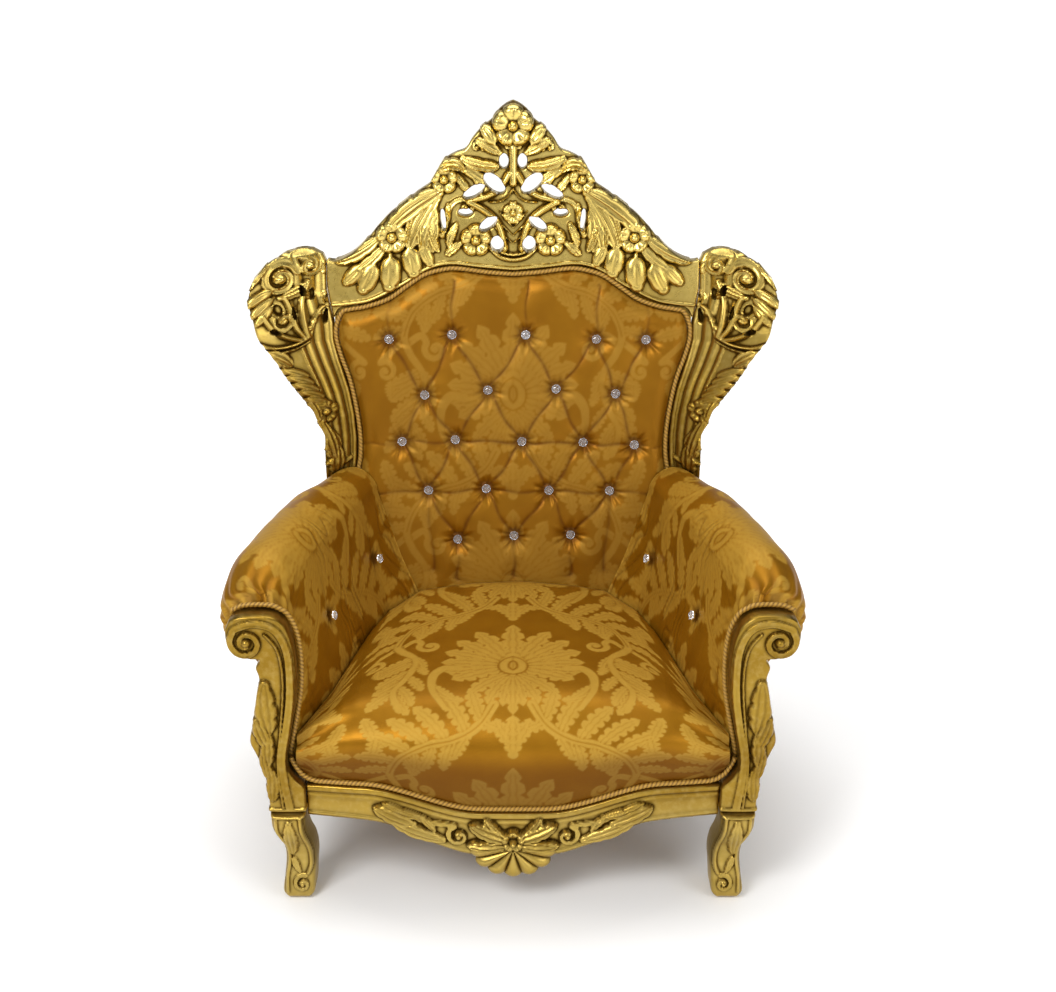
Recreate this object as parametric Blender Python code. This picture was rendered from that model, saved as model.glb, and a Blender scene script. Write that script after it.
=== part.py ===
"""A carved and gilded throne armchair with a buttoned damask back, as solids at full size.

Metres, +Z up. The chair faces -Y and is the same on both sides of X = 0. Left is -X and right is +X.
The carved outlines are drawn flat, as (across, up) points of the right half, and then laid on the
raked back, the wings or the bowed front.
"""

import math

import bmesh
import bpy
import numpy as np
from mathutils import Matrix, Vector

# Clearances
GAP = 0.0003
SOFT_GAP = 0.002

# Seat and rails
SEAT_TOP = 0.420
SEAT_CROWN = 0.012
FRONT_FACE = -0.430
FRONT_BOW = 0.028
RAIL_HALF = 0.392
RAIL_TOP = 0.250
RAIL_DROP = 0.046
RAIL_DEPTH = 0.040
SIDE_RAIL_HEIGHT = 0.049
SIDE_RAIL_WIDTH = 0.030

# Legs
LEG_HEIGHT = 0.200
LEG_DEPTH = 0.070
LEG_CORNER = 0.010
POST_WIDTH = 0.050
POST_DEPTH = 0.045
REAR_SPLAY = 0.110

# Arms
ARM_SUPPORT_DEPTH = 0.045
SUPPORT_PROUD = 0.020
SUPPORT_BACK = FRONT_FACE - SUPPORT_PROUD + ARM_SUPPORT_DEPTH
ARM_OUTSIDE_FRONT = RAIL_HALF + 0.058
ARM_OUTSIDE_BACK = 0.3745
ARM_OVERHANG = 0.086
ARM_TOP = 0.630
ROLL_RADIUS = 0.068
SIDE_PANEL_THICK = 0.010
ARM_FOOT = RAIL_TOP + 0.008
SEAT_EDGE = 0.400

# Back
BACK_SET = 0.140
BACK_RAKE = 0.158
BACK_HALF = 0.373
BACK_RISE = 1.018
BOARD = 0.040
BOARD_PROUD = 0.004
PAD_PROUD = 0.016
DIMPLE_DEPTH = 0.020
DIMPLE_MOUTH = 0.030
COVER_THICK = 0.024
COVER_LAP = 0.014
WING_SPREAD = 0.203
WING_REACH = 0.130

# Trim
WELT_RADIUS = 0.005
BUTTON_RADIUS = 0.0105
BUTTON_HEIGHT = 0.009

# The front was drawn with its rail this long; its posts, legs and arms move out with the rail's end
DRAWN_RAIL = 0.392
# The back was drawn at these sizes; its outlines keep their proportions when the back is resized
DRAWN_HALF = 0.373
DRAWN_SEAT = 0.420
DRAWN_RISE = 1.018

# Right half of the buttoned panel, from the middle of its top to its foot
PANEL_EDGE = (
    (0.0, 1.081), (0.070, 1.087), (0.135, 1.093), (0.184, 1.081), (0.235, 1.048),
    (0.300, 1.016), (0.352, 1.006), (0.372, 0.984), (0.362, 0.914), (0.340, 0.842),
    (0.328, 0.775), (0.325, 0.720), (0.333, 0.661), (0.348, 0.580), (0.348, 0.432),
)
PANEL_CORNER = 6
PANEL_FOOT = 12

# Right half of the crest's silhouette, from the knob out to the corner
CREST_EDGE = (
    (0.0, 1.438), (0.014, 1.432), (0.030, 1.420), (0.041, 1.404), (0.065, 1.385), (0.085, 1.364),
    (0.100, 1.342), (0.122, 1.333), (0.142, 1.321), (0.157, 1.298), (0.173, 1.274), (0.200, 1.255),
    (0.237, 1.227), (0.262, 1.209), (0.290, 1.180), (0.312, 1.153), (0.335, 1.131), (0.358, 1.118),
    (0.378, 1.112), (0.396, 1.114),
)
# Openings through the crest: middle, half length, half width and the angle of the length
CREST_OPENINGS = (
    (0.019, 1.316, 0.015, 0.009, 90),
    (0.040, 1.272, 0.026, 0.014, 40),
    (0.083, 1.255, 0.024, 0.010, -30),
    (0.101, 1.213, 0.014, 0.008, 0),
    (0.053, 1.190, 0.021, 0.010, -38),
    (0.034, 1.148, 0.016, 0.013, 90),
    (0.148, 1.198, 0.022, 0.006, 85),
)

# Right wing: outer silhouette, from its foot to its top
WING_EDGE = (
    (0.398, 0.560), (0.401, 0.700), (0.403, 0.760), (0.424, 0.815), (0.462, 0.872), (0.502, 0.935),
    (0.527, 0.975), (0.537, 1.015), (0.544, 1.045), (0.542, 1.070), (0.527, 1.097), (0.506, 1.118),
    (0.474, 1.139),
)
WING_FOOT = ARM_TOP - ROLL_RADIUS - 0.002
WING_EXTRA_ROWS = (0.880, 1.052, 1.082)
# Inner side of the wing above the crest's corner
WING_TOP_INNER = ((0.403, 1.128), (0.424, 1.139))
WING_FLAT = 0.012
WING_EDGE_THICK = 0.026
FLUTE_RELIEF = 0.006
FLUTE_BAND = ((0.560, 0.050), (0.760, 0.052), (0.872, 0.058), (0.975, 0.070), (1.151, 0.085))

# Buttons of the back, row by row, on the panel's face
BACK_BUTTONS = (
    (-0.265, 0.9505), (-0.1305, 0.960), (0.027, 0.9595), (0.178, 0.9505), (0.284, 0.9495),
    (-0.190, 0.832), (-0.054, 0.8426), (0.0926, 0.845), (0.2205, 0.835),
    (-0.240, 0.732), (-0.125, 0.736), (0.019, 0.732), (0.1516, 0.7305), (0.2626, 0.725),
    (-0.184, 0.626), (-0.058, 0.6295), (0.078, 0.626), (0.210, 0.625),
    (-0.121, 0.518), (0.002, 0.526), (0.126, 0.528),
)
ARM_BUTTONS = (-0.210, 0.500), (0.045, 0.515)

# Where seat and arm meet, from the front corner to the middle of the back
CREASE = (
    (0.407, -0.4040, 0.345), (0.385, -0.366, 0.360), (0.352, -0.285, 0.375), (0.325, -0.180, 0.390),
    (0.296, -0.058, 0.400), (0.264, 0.038, 0.405), (0.204, 0.112, 0.410), (0.110, 0.150, 0.417),
    (0.0, 0.160, 0.420),
)
CREASE_ARM = 7
# Depths of the arm's sections behind its front one
ARM_DEPTHS = (-0.375, -0.285, -0.180, -0.058, 0.038)
# Middle of the rolled arm at each depth, from its reach and top, and its share of the roll's radius
ARM_ROLL = (
    (-0.4045, -0.010, -0.052, 0.80), (-0.375, 0.000, -0.050, 0.94), (-0.300, -0.008, -0.020, 1.0),
    (-0.200, -0.031, -0.012, 1.03), (-0.100, -0.054, -0.008, 1.03), (0.0, -0.082, -0.006, 1.03),
    (0.060, -0.104, -0.008, 1.0), (0.130, -0.128, -0.013, 0.96),
)
# Distances from the middle at which rail, seat and their cord change direction together
STATIONS = [RAIL_HALF * share for share in (0.0, 0.14, 0.28, 0.40, 0.52, 0.673, 0.829, 0.898)]

# Front post, as drawn: the corded edge round its inner side, and its outer silhouette from the scroll down
ARM_WELT = (
    (0.514, 0.602), (0.496, 0.611), (0.442, 0.612), (0.413, 0.595), (0.400, 0.568), (0.394, 0.536),
    (0.392, 0.498), (0.394, 0.452), (0.400, 0.412), (0.408, 0.372), (0.415, 0.338), (0.419, 0.318),
)
SEAT_WELT_RISE = ((0.417, 0.296), (0.407, 0.275), (0.394, 0.262))
SUPPORT_EDGE = (
    (0.522, 0.580), (0.520, 0.553), (0.506, 0.529), (0.482, 0.521), (0.463, 0.519), (0.470, 0.503),
    (0.465, 0.478), (0.472, 0.432), (0.484, 0.380), (0.489, 0.350), (0.480, 0.325), (0.468, 0.292),
    (0.461, 0.244), (0.458, 0.222),
)
# Front leg at each height: inside, outside, and how far the front stands forward of the rail's face
LEG_SECTIONS = (
    (0.000, 0.390, 0.442, 0.008), (0.018, 0.385, 0.446, 0.012), (0.050, 0.383, 0.442, 0.006),
    (0.084, 0.381, 0.439, 0.000), (0.116, 0.384, 0.441, 0.006), (0.142, 0.390, 0.450, 0.018),
    (0.168, 0.394, 0.458, 0.026), (0.200, 0.394, 0.460, 0.022),
)
# Underside of the front rail, by share of its half length
RAIL_UNDERSIDE = (
    (0.0, 0.106), (0.209, 0.112), (0.347, 0.128), (0.459, 0.146), (0.612, 0.172), (0.765, 0.180),
    (1.0, 0.183),
)


def clear_scene():
    for thing in list(bpy.data.objects):
        bpy.data.objects.remove(thing, do_unlink=True)
    for group in list(bpy.data.collections):
        bpy.data.collections.remove(group)


def make_collection(name, shown=True):
    group = bpy.data.collections.new(name)
    group.hide_render = not shown
    bpy.context.scene.collection.children.link(group)
    return group


def make_material(name, colour, roughness, metallic):
    finish = bpy.data.materials.new(name)
    finish.use_nodes = True
    shader = finish.node_tree.nodes["Principled BSDF"]
    shader.inputs["Base Color"].default_value = (*colour, 1.0)
    shader.inputs["Roughness"].default_value = roughness
    shader.inputs["Metallic"].default_value = metallic
    finish.diffuse_color = (*colour, 1.0)
    return finish


def add_object(name, mesh, group, finish=None):
    thing = bpy.data.objects.new(name, mesh)
    group.objects.link(thing)
    if finish:
        mesh.materials.clear()
        mesh.materials.append(finish)
    if group.hide_render:
        thing.hide_render = True
        thing.display_type = "WIRE"
    return thing


def tidy_mesh(mesh):
    """Welds a mesh's seams and caps and turns its faces outwards."""
    shape = bmesh.new()
    shape.from_mesh(mesh)
    bmesh.ops.remove_doubles(shape, verts=shape.verts, dist=0.00002)
    bmesh.ops.recalc_face_normals(shape, faces=shape.faces)
    shape.to_mesh(mesh)
    shape.free()


def curve_to_mesh(curve, group):
    """The mesh that a curve makes, with its caps welded."""
    thing = bpy.data.objects.new(curve.name, curve)
    group.objects.link(thing)
    bpy.context.view_layer.update()
    graph = bpy.context.evaluated_depsgraph_get()
    mesh = bpy.data.meshes.new_from_object(thing.evaluated_get(graph))
    bpy.data.objects.remove(thing, do_unlink=True)
    tidy_mesh(mesh)
    return mesh


def lay(mesh, rule):
    """Moves every point of a flat drawing, (across, up, relief), to where the rule puts it."""
    for vertex in mesh.vertices:
        vertex.co = rule(*vertex.co)
    tidy_mesh(mesh)
    return mesh


def mirrored(source, name, group, finish):
    """The same piece on the other side of the chair."""
    bpy.context.view_layer.update()
    graph = bpy.context.evaluated_depsgraph_get()
    mesh = bpy.data.meshes.new_from_object(source.evaluated_get(graph))
    mesh.transform(Matrix.Scale(-1.0, 4, (1.0, 0.0, 0.0)))
    mesh.flip_normals()
    return add_object(name, mesh, group, finish)


def loft(rings):
    """A closed skin over rings of as many points each, capped at both ends."""
    mesh = bpy.data.meshes.new("loft")
    shape = bmesh.new()
    rows = [[shape.verts.new(point) for point in ring] for ring in rings]
    count = len(rings[0])
    for first, second in zip(rows, rows[1:]):
        for i in range(count):
            j = (i + 1) % count
            shape.faces.new((first[i], first[j], second[j], second[i]))
    shape.faces.new(rows[0])
    shape.faces.new(rows[-1])
    shape.to_mesh(mesh)
    shape.free()
    tidy_mesh(mesh)
    return mesh


def poly_spline(curve, points, closed, radii=None):
    spline = curve.splines.new("POLY")
    spline.points.add(len(points) - 1)
    spline.use_cyclic_u = closed
    for i, point in enumerate(points):
        spline.points[i].co = (*point, *([0.0] * (3 - len(point))), 1.0)
        spline.points[i].radius = radii[i] if radii else 1.0


def board(name, outline, holes, front, back, group, chamfer=0.0):
    """A flat outline sawn from a board, with its front and back at these reliefs."""
    curve = bpy.data.curves.new(name, "CURVE")
    curve.dimensions = "2D"
    curve.fill_mode = "BOTH"
    curve.extrude = (front - back) / 2 - chamfer
    curve.bevel_depth = chamfer
    curve.bevel_resolution = 0
    curve.offset = -chamfer
    poly_spline(curve, outline, True)
    for hole in holes:
        poly_spline(curve, hole, True)
    mesh = curve_to_mesh(curve, group)
    mesh.transform(Matrix.Translation((0.0, 0.0, (front + back) / 2)))
    return mesh


def cord(name, path, radius, group, sides=6):
    """A round cord along a path of points."""
    curve = bpy.data.curves.new(name, "CURVE")
    curve.dimensions = "3D"
    curve.bevel_depth = radius
    curve.bevel_resolution = (sides - 4) // 2
    curve.use_fill_caps = True
    poly_spline(curve, path, False)
    return curve_to_mesh(curve, group)


def section_guide(name, points, group):
    """A closed section, in units of half its width, that carved lines are swept with."""
    curve = bpy.data.curves.new(name, "CURVE")
    curve.dimensions = "2D"
    poly_spline(curve, points, True)
    guide = bpy.data.objects.new(name, curve)
    guide.hide_render = True
    group.objects.link(guide)
    return guide


def swept(name, path, widths, guide, group):
    """A carved line: the guide's section along a path, with its half width at each point."""
    curve = bpy.data.curves.new(name, "CURVE")
    curve.dimensions = "3D"
    curve.twist_mode = "Z_UP"
    curve.bevel_mode = "OBJECT"
    curve.bevel_object = guide
    curve.use_fill_caps = True
    poly_spline(curve, path, False, widths)
    return curve_to_mesh(curve, group)


def offset_line(points, distance):
    """The line moved sideways, to its left as it runs, by the distance."""
    line = np.array(points, dtype=float)
    along = np.gradient(line, axis=0)
    steps = np.diff(line, axis=0)
    steps /= np.linalg.norm(steps, axis=1)[:, None]
    along[1:-1] = steps[:-1] + steps[1:]
    along[0] = steps[0]
    along[-1] = steps[-1]
    along /= np.linalg.norm(along, axis=1)[:, None]
    mitre = np.ones(len(line))
    mitre[1:-1] = np.sqrt(2.0 / (1.0 + (steps[:-1] * steps[1:]).sum(axis=1)))
    side = np.stack([-along[:, 1], along[:, 0]], axis=1)
    return [tuple(point) for point in line + side * (distance * np.minimum(mitre, 1.5))[:, None]]


def both_sides(points):
    """A right half that starts on the middle line, made whole from left to right."""
    return [(-x, z) for x, z in reversed(points[1:])] + list(points)


def oval(across, up, half_length, half_width, degrees, side=1, count=6):
    """The points of an oval opening."""
    turn = math.radians(degrees)
    found = []
    for i in range(count):
        angle = 2 * math.pi * i / count
        long = half_length * math.cos(angle)
        wide = half_width * math.sin(angle)
        x = across + long * math.cos(turn) - wide * math.sin(turn)
        z = up + long * math.sin(turn) + wide * math.cos(turn)
        found.append((side * x, z))
    return found


def back_face(z):
    """Y of the back's plane at a height."""
    return BACK_SET + (z - SEAT_TOP) * BACK_RAKE


def drawn_to_back(x, z):
    """A drawn point at the back's real size."""
    return x * BACK_HALF / DRAWN_HALF, SEAT_TOP + (z - DRAWN_SEAT) * BACK_RISE / DRAWN_RISE


def sized(points):
    return [drawn_to_back(x, z) for x, z in points]


def on_back(across, up, relief):
    return across, back_face(up) - relief, up


def panel_outline(outward=0.0):
    """The right half of the panel's edge at the back's size, moved outwards."""
    return offset_line(sized(PANEL_EDGE), outward)


def opening_line():
    """The wing's inner side from its foot up: past the panel, then along the crest's end."""
    edge = panel_outline(2 * WELT_RADIUS + 2 * GAP)
    beside_panel = edge[PANEL_CORNER : PANEL_FOOT + 2][::-1]
    return beside_panel + [(x + GAP, z) for x, z in sized(CREST_EDGE[-1:] + WING_TOP_INNER)]


def opening_half(z):
    """Half the width between the wings at a height."""
    line = opening_line()
    return float(np.interp(z, [point[1] for point in line], [point[0] for point in line]))


def wing_forward(x, z):
    """How far the wing stands forward of the back's plane: flat, then curling forward."""
    share = (x - opening_half(z) - WING_FLAT) / WING_SPREAD
    share = min(max(share, 0.0), 1.0)
    return WING_REACH * (1.0 - (1.0 - share) ** 1.7)


def wing_point(x, z):
    return Vector((x, back_face(z) - BOARD_PROUD - wing_forward(x, z), z))


def on_wing(across, up, relief):
    """A point on the wing's face, raised from it by the relief."""
    step = 0.004
    here = wing_point(across, up)
    right = wing_point(across + step, up) - wing_point(across - step, up)
    rise = wing_point(across, up + step) - wing_point(across, up - step)
    return here + right.cross(rise).normalized() * relief


def front_y(x):
    """Y of the front rail's face, bowed forward at the middle."""
    share = min(abs(x) / RAIL_HALF, 1.0)
    return FRONT_FACE - FRONT_BOW * (1.0 - share * share)


def rail_top(x):
    """The serpentine top of the front rail: level at the ends, dropped at the middle."""
    share = min(abs(x) / RAIL_HALF, 1.0)
    ease = min(max((share - 0.16) / 0.56, 0.0), 1.0)
    return RAIL_TOP - RAIL_DROP * (1.0 - ease * ease * (3.0 - 2.0 * ease))


def on_front(across, up, relief):
    return across, front_y(across) - relief, up


def spread(y):
    """How much further out than drawn the chair's sides are: with the rail's end, and less to the rear."""
    share = (BACK_SET - y) / (BACK_SET - FRONT_FACE)
    return (RAIL_HALF - DRAWN_RAIL) * min(max(share, 0.0), 1.0)


def on_post(across, up, relief):
    return across + spread(FRONT_FACE), FRONT_FACE - relief, up


def on_leg(across, up, relief):
    """A point on the leg's front, which stands forward of the rail as its sections say."""
    forward = np.interp(up, [row[0] for row in LEG_SECTIONS], [row[3] for row in LEG_SECTIONS])
    return across + spread(FRONT_FACE), FRONT_FACE - float(forward) - relief, up


class Carver:
    """Cuts ornaments for one carved piece: each is drawn flat and laid by the piece's rule."""

    def __init__(self, name, rule, guides, pairs):
        self.group = make_collection(name, shown=False)
        self.rule = rule
        self.guides = guides
        self.pairs = pairs
        self.count = 0

    def keep(self, mesh):
        self.count += 1
        copies = [mesh]
        if self.pairs:
            other = mesh.copy()
            other.transform(Matrix.Scale(-1.0, 4, (1.0, 0.0, 0.0)))
            copies.append(other)
        for i, copy in enumerate(copies):
            lay(copy, self.rule)
            add_object(f"{self.group.name}_{self.count}_{i}", copy, self.group)

    def alone(self, make, *values, **named):
        """One ornament on the middle line, not repeated on the other side."""
        pairs, self.pairs = self.pairs, False
        make(*values, **named)
        self.pairs = pairs

    def leaf(self, at, degrees, length, width, bend=0.0, rise=0.006, blunt=False):
        """A leaf that starts at a point, heads off at an angle and bends by more degrees."""
        heading = math.radians(degrees)
        turn = math.radians(bend)
        shares = (0.0, 0.38, 0.74, 1.0)
        widths = (0.55, 1.0, 0.95, 0.62) if blunt else (0.60, 1.0, 0.70, 0.14)
        x, z = at
        path = [(x, z, 0.001)]
        for i in range(1, 4):
            step = length * (shares[i] - shares[i - 1])
            middle = heading + turn * (shares[i] + shares[i - 1]) / 2
            x += step * math.cos(middle)
            z += step * math.sin(middle)
            path.append((x, z, rise * math.sin(math.pi * shares[i] * 0.85)))
        halves = [width / 2 * share for share in widths]
        self.keep(swept("leaf", path, halves, self.guides["leaf"], self.group))

    def line(self, points, half_width, taper=1.0, rise=0.002):
        """A raised moulding through the points, thinning to the taper at its end."""
        last = len(points) - 1
        path = [(x, z, rise) for x, z in points]
        halves = [half_width * (1.0 + (taper - 1.0) * i / last) for i in range(last + 1)]
        self.keep(swept("line", path, halves, self.guides["bead"], self.group))

    def scroll(self, eye, radius, degrees, turns, half_width, tail=()):
        """A volute that winds in to its eye, with an optional tail of points before it."""
        points = list(tail)
        steps = max(4, round(abs(turns) * 6))
        for i in range(steps + 1):
            share = i / steps
            angle = math.radians(degrees) + turns * 2 * math.pi * share
            reach = radius * (1.0 - 0.72 * share)
            points.append((eye[0] + reach * math.cos(angle), eye[1] + reach * math.sin(angle)))
        self.line(points, half_width, 0.75, 0.004)

    def rosette(self, at, radius, petals=5, height=0.014, bead=True):
        """A flower: a cone with its rim pulled in between the petals, and a bead."""
        mesh = bpy.data.meshes.new("rosette")
        shape = bmesh.new()
        place = Matrix.Translation((at[0], at[1], height / 2 - 0.003))
        made = bmesh.ops.create_cone(
            shape, cap_ends=True, segments=2 * petals, radius1=radius, radius2=radius * 0.62,
            depth=height + 0.006, matrix=place,
        )
        for vertex in made["verts"]:
            spoke = vertex.co.xy - Vector(at)
            turn = math.atan2(spoke.y, spoke.x) * petals
            spoke *= 0.90 + 0.10 * math.cos(turn)
            vertex.co.xy = Vector(at) + spoke
        shape.to_mesh(mesh)
        shape.free()
        tidy_mesh(mesh)
        self.keep(mesh)
        if not bead:
            return
        bead_mesh = bpy.data.meshes.new("bead")
        shape = bmesh.new()
        place = Matrix.Translation((at[0], at[1], height))
        bmesh.ops.create_cone(
            shape, cap_ends=True, segments=5, radius1=radius * 0.30, radius2=radius * 0.12,
            depth=radius * 0.30, matrix=place,
        )
        shape.to_mesh(bead_mesh)
        shape.free()
        self.keep(bead_mesh)

    def shell(self, at, half_width, drop, ribs, rise):
        """Half a fan of ribs hanging from its hub, each rising between two grooves."""
        mesh = bpy.data.meshes.new("shell")
        shape = bmesh.new()
        hub = [shape.verts.new((*at, relief)) for relief in (rise, -0.003)]
        rim = []
        for i in range(2 * ribs + 1):
            angle = math.pi * i / (2 * ribs)
            reach, top = (1.0, rise) if i % 2 else (0.86, 0.3 * rise)
            x = at[0] + half_width * reach * math.cos(angle)
            z = at[1] - drop * reach * math.sin(angle)
            rim.append([shape.verts.new((x, z, relief)) for relief in (top, -0.003)])
        for first, second in zip(rim, rim[1:]):
            shape.faces.new((hub[0], first[0], second[0]))
            shape.faces.new((hub[1], first[1], second[1]))
            shape.faces.new((first[0], first[1], second[1], second[0]))
        for end in (rim[0], rim[-1]):
            shape.faces.new((hub[0], hub[1], end[1], end[0]))
        shape.to_mesh(mesh)
        shape.free()
        tidy_mesh(mesh)
        self.keep(mesh)

    def join_to(self, base):
        """One body of the piece and its ornaments."""
        union = base.modifiers.new("Carving", "BOOLEAN")
        union.operation = "UNION"
        union.operand_type = "COLLECTION"
        union.collection = self.group


def make_crest(parts, guides, gold):
    lower = panel_outline(2 * WELT_RADIUS + 2 * GAP)[: PANEL_CORNER + 1]
    lower[0] = (0.0, lower[0][1])
    upper = sized(CREST_EDGE)
    outline = both_sides(upper) + both_sides(lower)[::-1]
    holes = []
    for across, up, long, wide, angle in CREST_OPENINGS:
        for side in (-1, 1):
            holes.append(sized(oval(across, up, long, wide, angle, side)))
    front = BOARD_PROUD
    mesh = board("crest", outline, holes, front, front - BOARD, parts)
    lay(mesh, on_back)
    crest = add_object("crest", mesh, parts, gold)

    def rule(across, up, relief):
        x, z = drawn_to_back(across, up)
        return on_back(x, z, relief + front)

    carve = Carver("crest_carving", rule, guides, pairs=True)
    carve.alone(carve.rosette, (0.0, 1.389), 0.043, 5, 0.018)
    carve.alone(carve.leaf, (0.0, 1.360), -90, 0.085, 0.020, 0, 0.004)
    carve.alone(carve.rosette, (0.0, 1.213), 0.022, 5, 0.010, bead=False)
    lip = [(-0.046, 1.138), (-0.026, 1.121), (0.0, 1.114), (0.026, 1.121), (0.046, 1.138)]
    carve.alone(carve.line, lip, 0.009)
    carve.leaf((0.004, 1.372), -125, 0.036, 0.018)
    carve.leaf((0.030, 1.340), 55, 0.062, 0.036, -15, 0.010)
    carve.leaf((0.104, 1.324), 205, 0.075, 0.020, -35)
    carve.line([(0.010, 1.288), (0.030, 1.258), (0.060, 1.242), (0.092, 1.238)], 0.006)
    carve.line([(0.092, 1.234), (0.052, 1.212), (0.028, 1.184), (0.016, 1.148)], 0.006)
    carve.scroll((0.100, 1.222), 0.018, 100, 0.8, 0.006, [(0.152, 1.170), (0.142, 1.205), (0.128, 1.234)])
    carve.rosette((0.080, 1.157), 0.034)
    carve.rosette((0.146, 1.283), 0.030)
    carve.leaf((0.104, 1.313), 14, 0.058, 0.024, -75, 0.012)
    carve.leaf((0.150, 1.258), -22, 0.125, 0.034, -18, 0.012)
    carve.leaf((0.160, 1.246), -40, 0.105, 0.026, -20, 0.010)
    carve.leaf((0.166, 1.234), -66, 0.090, 0.024, -22, 0.008)
    carve.rosette((0.256, 1.163), 0.035)
    carve.leaf((0.226, 1.140), -100, 0.048, 0.034, 0, 0.008, blunt=True)
    carve.leaf((0.262, 1.125), -84, 0.055, 0.036, 0, 0.008, blunt=True)
    carve.leaf((0.294, 1.118), -68, 0.056, 0.034, 0, 0.008, blunt=True)
    carve.leaf((0.284, 1.152), -38, 0.100, 0.034, 22, 0.008)
    carve.join_to(crest)


def make_wings(parts, guides, gold):
    drawn_rows = (WING_FOOT, *WING_EXTRA_ROWS)
    rows = [point[1] for point in sized([(0.0, z) for z in drawn_rows])]
    rows += [point[1] for point in opening_line()[1:-2]] + [opening_line()[-1][1]]
    rows.sort()
    edge = sized(WING_EDGE)
    bands = sized([(width, z) for z, width in FLUTE_BAND])
    square_thick = BOARD / math.hypot(1.0, BACK_RAKE)
    rings = []
    for z in rows:
        inner = opening_half(z)
        outer = float(np.interp(z, [p[1] for p in edge], [p[0] for p in edge]))
        band = float(np.interp(z, [p[1] for p in bands], [p[0] for p in bands]))
        band = min(band, (outer - inner) * 0.75)
        places = [inner + band * share for share in (0.0, 0.25, 0.5, 0.75, 1.0)]
        places += [inner + band + (outer - inner - band) * share for share in (0.5, 1.0)]
        reliefs = [0.0, FLUTE_RELIEF, 0.0, FLUTE_RELIEF, 0.0, 0.004, 0.0]
        places += [outer - 0.003, inner + band, inner]
        reliefs += [-WING_EDGE_THICK, -square_thick, -square_thick]
        rings.append([on_wing(x, z, relief) for x, relief in zip(places, reliefs)])
    wing = add_object("wing_right", loft(rings), parts, gold)

    def rule(across, up, relief):
        x, z = drawn_to_back(across, up)
        return on_wing(x, z, relief)

    carve = Carver("wing_carving", rule, guides, pairs=False)
    carve.scroll((0.484, 1.086), 0.034, 150, -1.4, 0.010)
    carve.scroll((0.431, 1.104), 0.022, 60, 1.1, 0.008)
    carve.leaf((0.486, 1.046), 172, 0.050, 0.022, -20, 0.010)
    carve.leaf((0.494, 1.052), -6, 0.046, 0.026, 0, 0.010, blunt=True)
    carve.scroll((0.478, 1.004), 0.022, 20, -1.0, 0.007)
    carve.scroll((0.394, 1.032), 0.020, 200, -1.1, 0.006)
    carve.line([(0.440, 0.965), (0.446, 1.000), (0.448, 1.040), (0.436, 1.078)], 0.008)
    carve.line([(0.528, 0.962), (0.498, 0.950), (0.462, 0.952), (0.436, 0.965)], 0.010)
    carve.leaf((0.505, 0.938), 205, 0.050, 0.034, 20, 0.010)
    for i, across in enumerate((0.488, 0.474, 0.458)):
        carve.leaf((across, 0.903 - 0.021 * i), 192, 0.056, 0.020, 10, 0.007)
    carve.rosette((0.400, 0.808), 0.024)
    carve.leaf((0.408, 0.786), -112, 0.090, 0.030, 12, 0.010)
    carve.leaf((0.378, 0.724), -86, 0.050, 0.036, 0, 0.010)
    carve.join_to(wing)
    mirrored(wing, "wing_left", parts, gold)


def post_front(z):
    """Y of a back post's front face: with the back above the rail, splayed to the rear below it."""
    levels = [0.0, 0.05, 0.10, 0.15, RAIL_TOP - SIDE_RAIL_HEIGHT, RAIL_TOP]
    faces = []
    for level in levels:
        below = (RAIL_TOP - level) / RAIL_TOP
        faces.append(back_face(RAIL_TOP) + BOARD - BOARD_PROUD + GAP + REAR_SPLAY * below**1.6)
    if z >= RAIL_TOP:
        return back_face(z) + BOARD - BOARD_PROUD + GAP
    return float(np.interp(z, levels, faces))


def post_inside():
    """X of a back post's inner face, which lies behind the edge of the opening."""
    return drawn_to_back(0.335, 0.0)[0]


def make_back_posts(parts, gold):
    top = drawn_to_back(0.0, 1.060)[1]
    inside = post_inside()
    outside = inside + POST_WIDTH
    rings = []
    for z in (0.0, 0.05, 0.10, 0.15, RAIL_TOP - SIDE_RAIL_HEIGHT, RAIL_TOP, top - POST_DEPTH, top):
        front = post_front(z)
        slim = 0.006 if z < 0.12 else 0.0
        back = front + POST_DEPTH - slim
        if z == top:
            back = front + 0.3 * POST_DEPTH
        rings.append([
            (inside + slim, front, z), (outside - slim, front, z),
            (outside - slim, back, z), (inside + slim, back, z),
        ])
    post = add_object("back_post_right", loft(rings), parts, gold)
    mirrored(post, "back_post_left", parts, gold)


def make_rails(parts, gold):
    top = RAIL_TOP - GAP
    low = RAIL_TOP - SIDE_RAIL_HEIGHT
    start = SUPPORT_BACK + GAP
    outer = ARM_OUTSIDE_FRONT + SIDE_PANEL_THICK
    end_outer = post_inside() + POST_WIDTH
    front = [(outer, start, low), (outer, start, top), (outer - SIDE_RAIL_WIDTH, start, top),
             (outer - SIDE_RAIL_WIDTH, start, low)]
    end = [(end_outer, post_front(low) - GAP, low), (end_outer, post_front(top) - GAP, top),
           (end_outer - SIDE_RAIL_WIDTH, post_front(top) - GAP, top),
           (end_outer - SIDE_RAIL_WIDTH, post_front(low) - GAP, low)]
    rail = add_object("side_rail_right", loft([front, end]), parts, gold)
    mirrored(rail, "side_rail_left", parts, gold)
    half = post_inside() - GAP
    front_y_back = post_front(RAIL_TOP)
    mesh = bpy.data.meshes.new("back_rail")
    shape = bmesh.new()
    bmesh.ops.create_cube(shape, size=1.0)
    shape.to_mesh(mesh)
    shape.free()
    mesh.transform(Matrix.Diagonal((2 * half, POST_DEPTH * 0.7, SIDE_RAIL_HEIGHT, 1.0)))
    mesh.transform(Matrix.Translation((0.0, front_y_back + POST_DEPTH * 0.35 + 0.004, (top + low) / 2)))
    add_object("back_rail", mesh, parts, gold)


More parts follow.
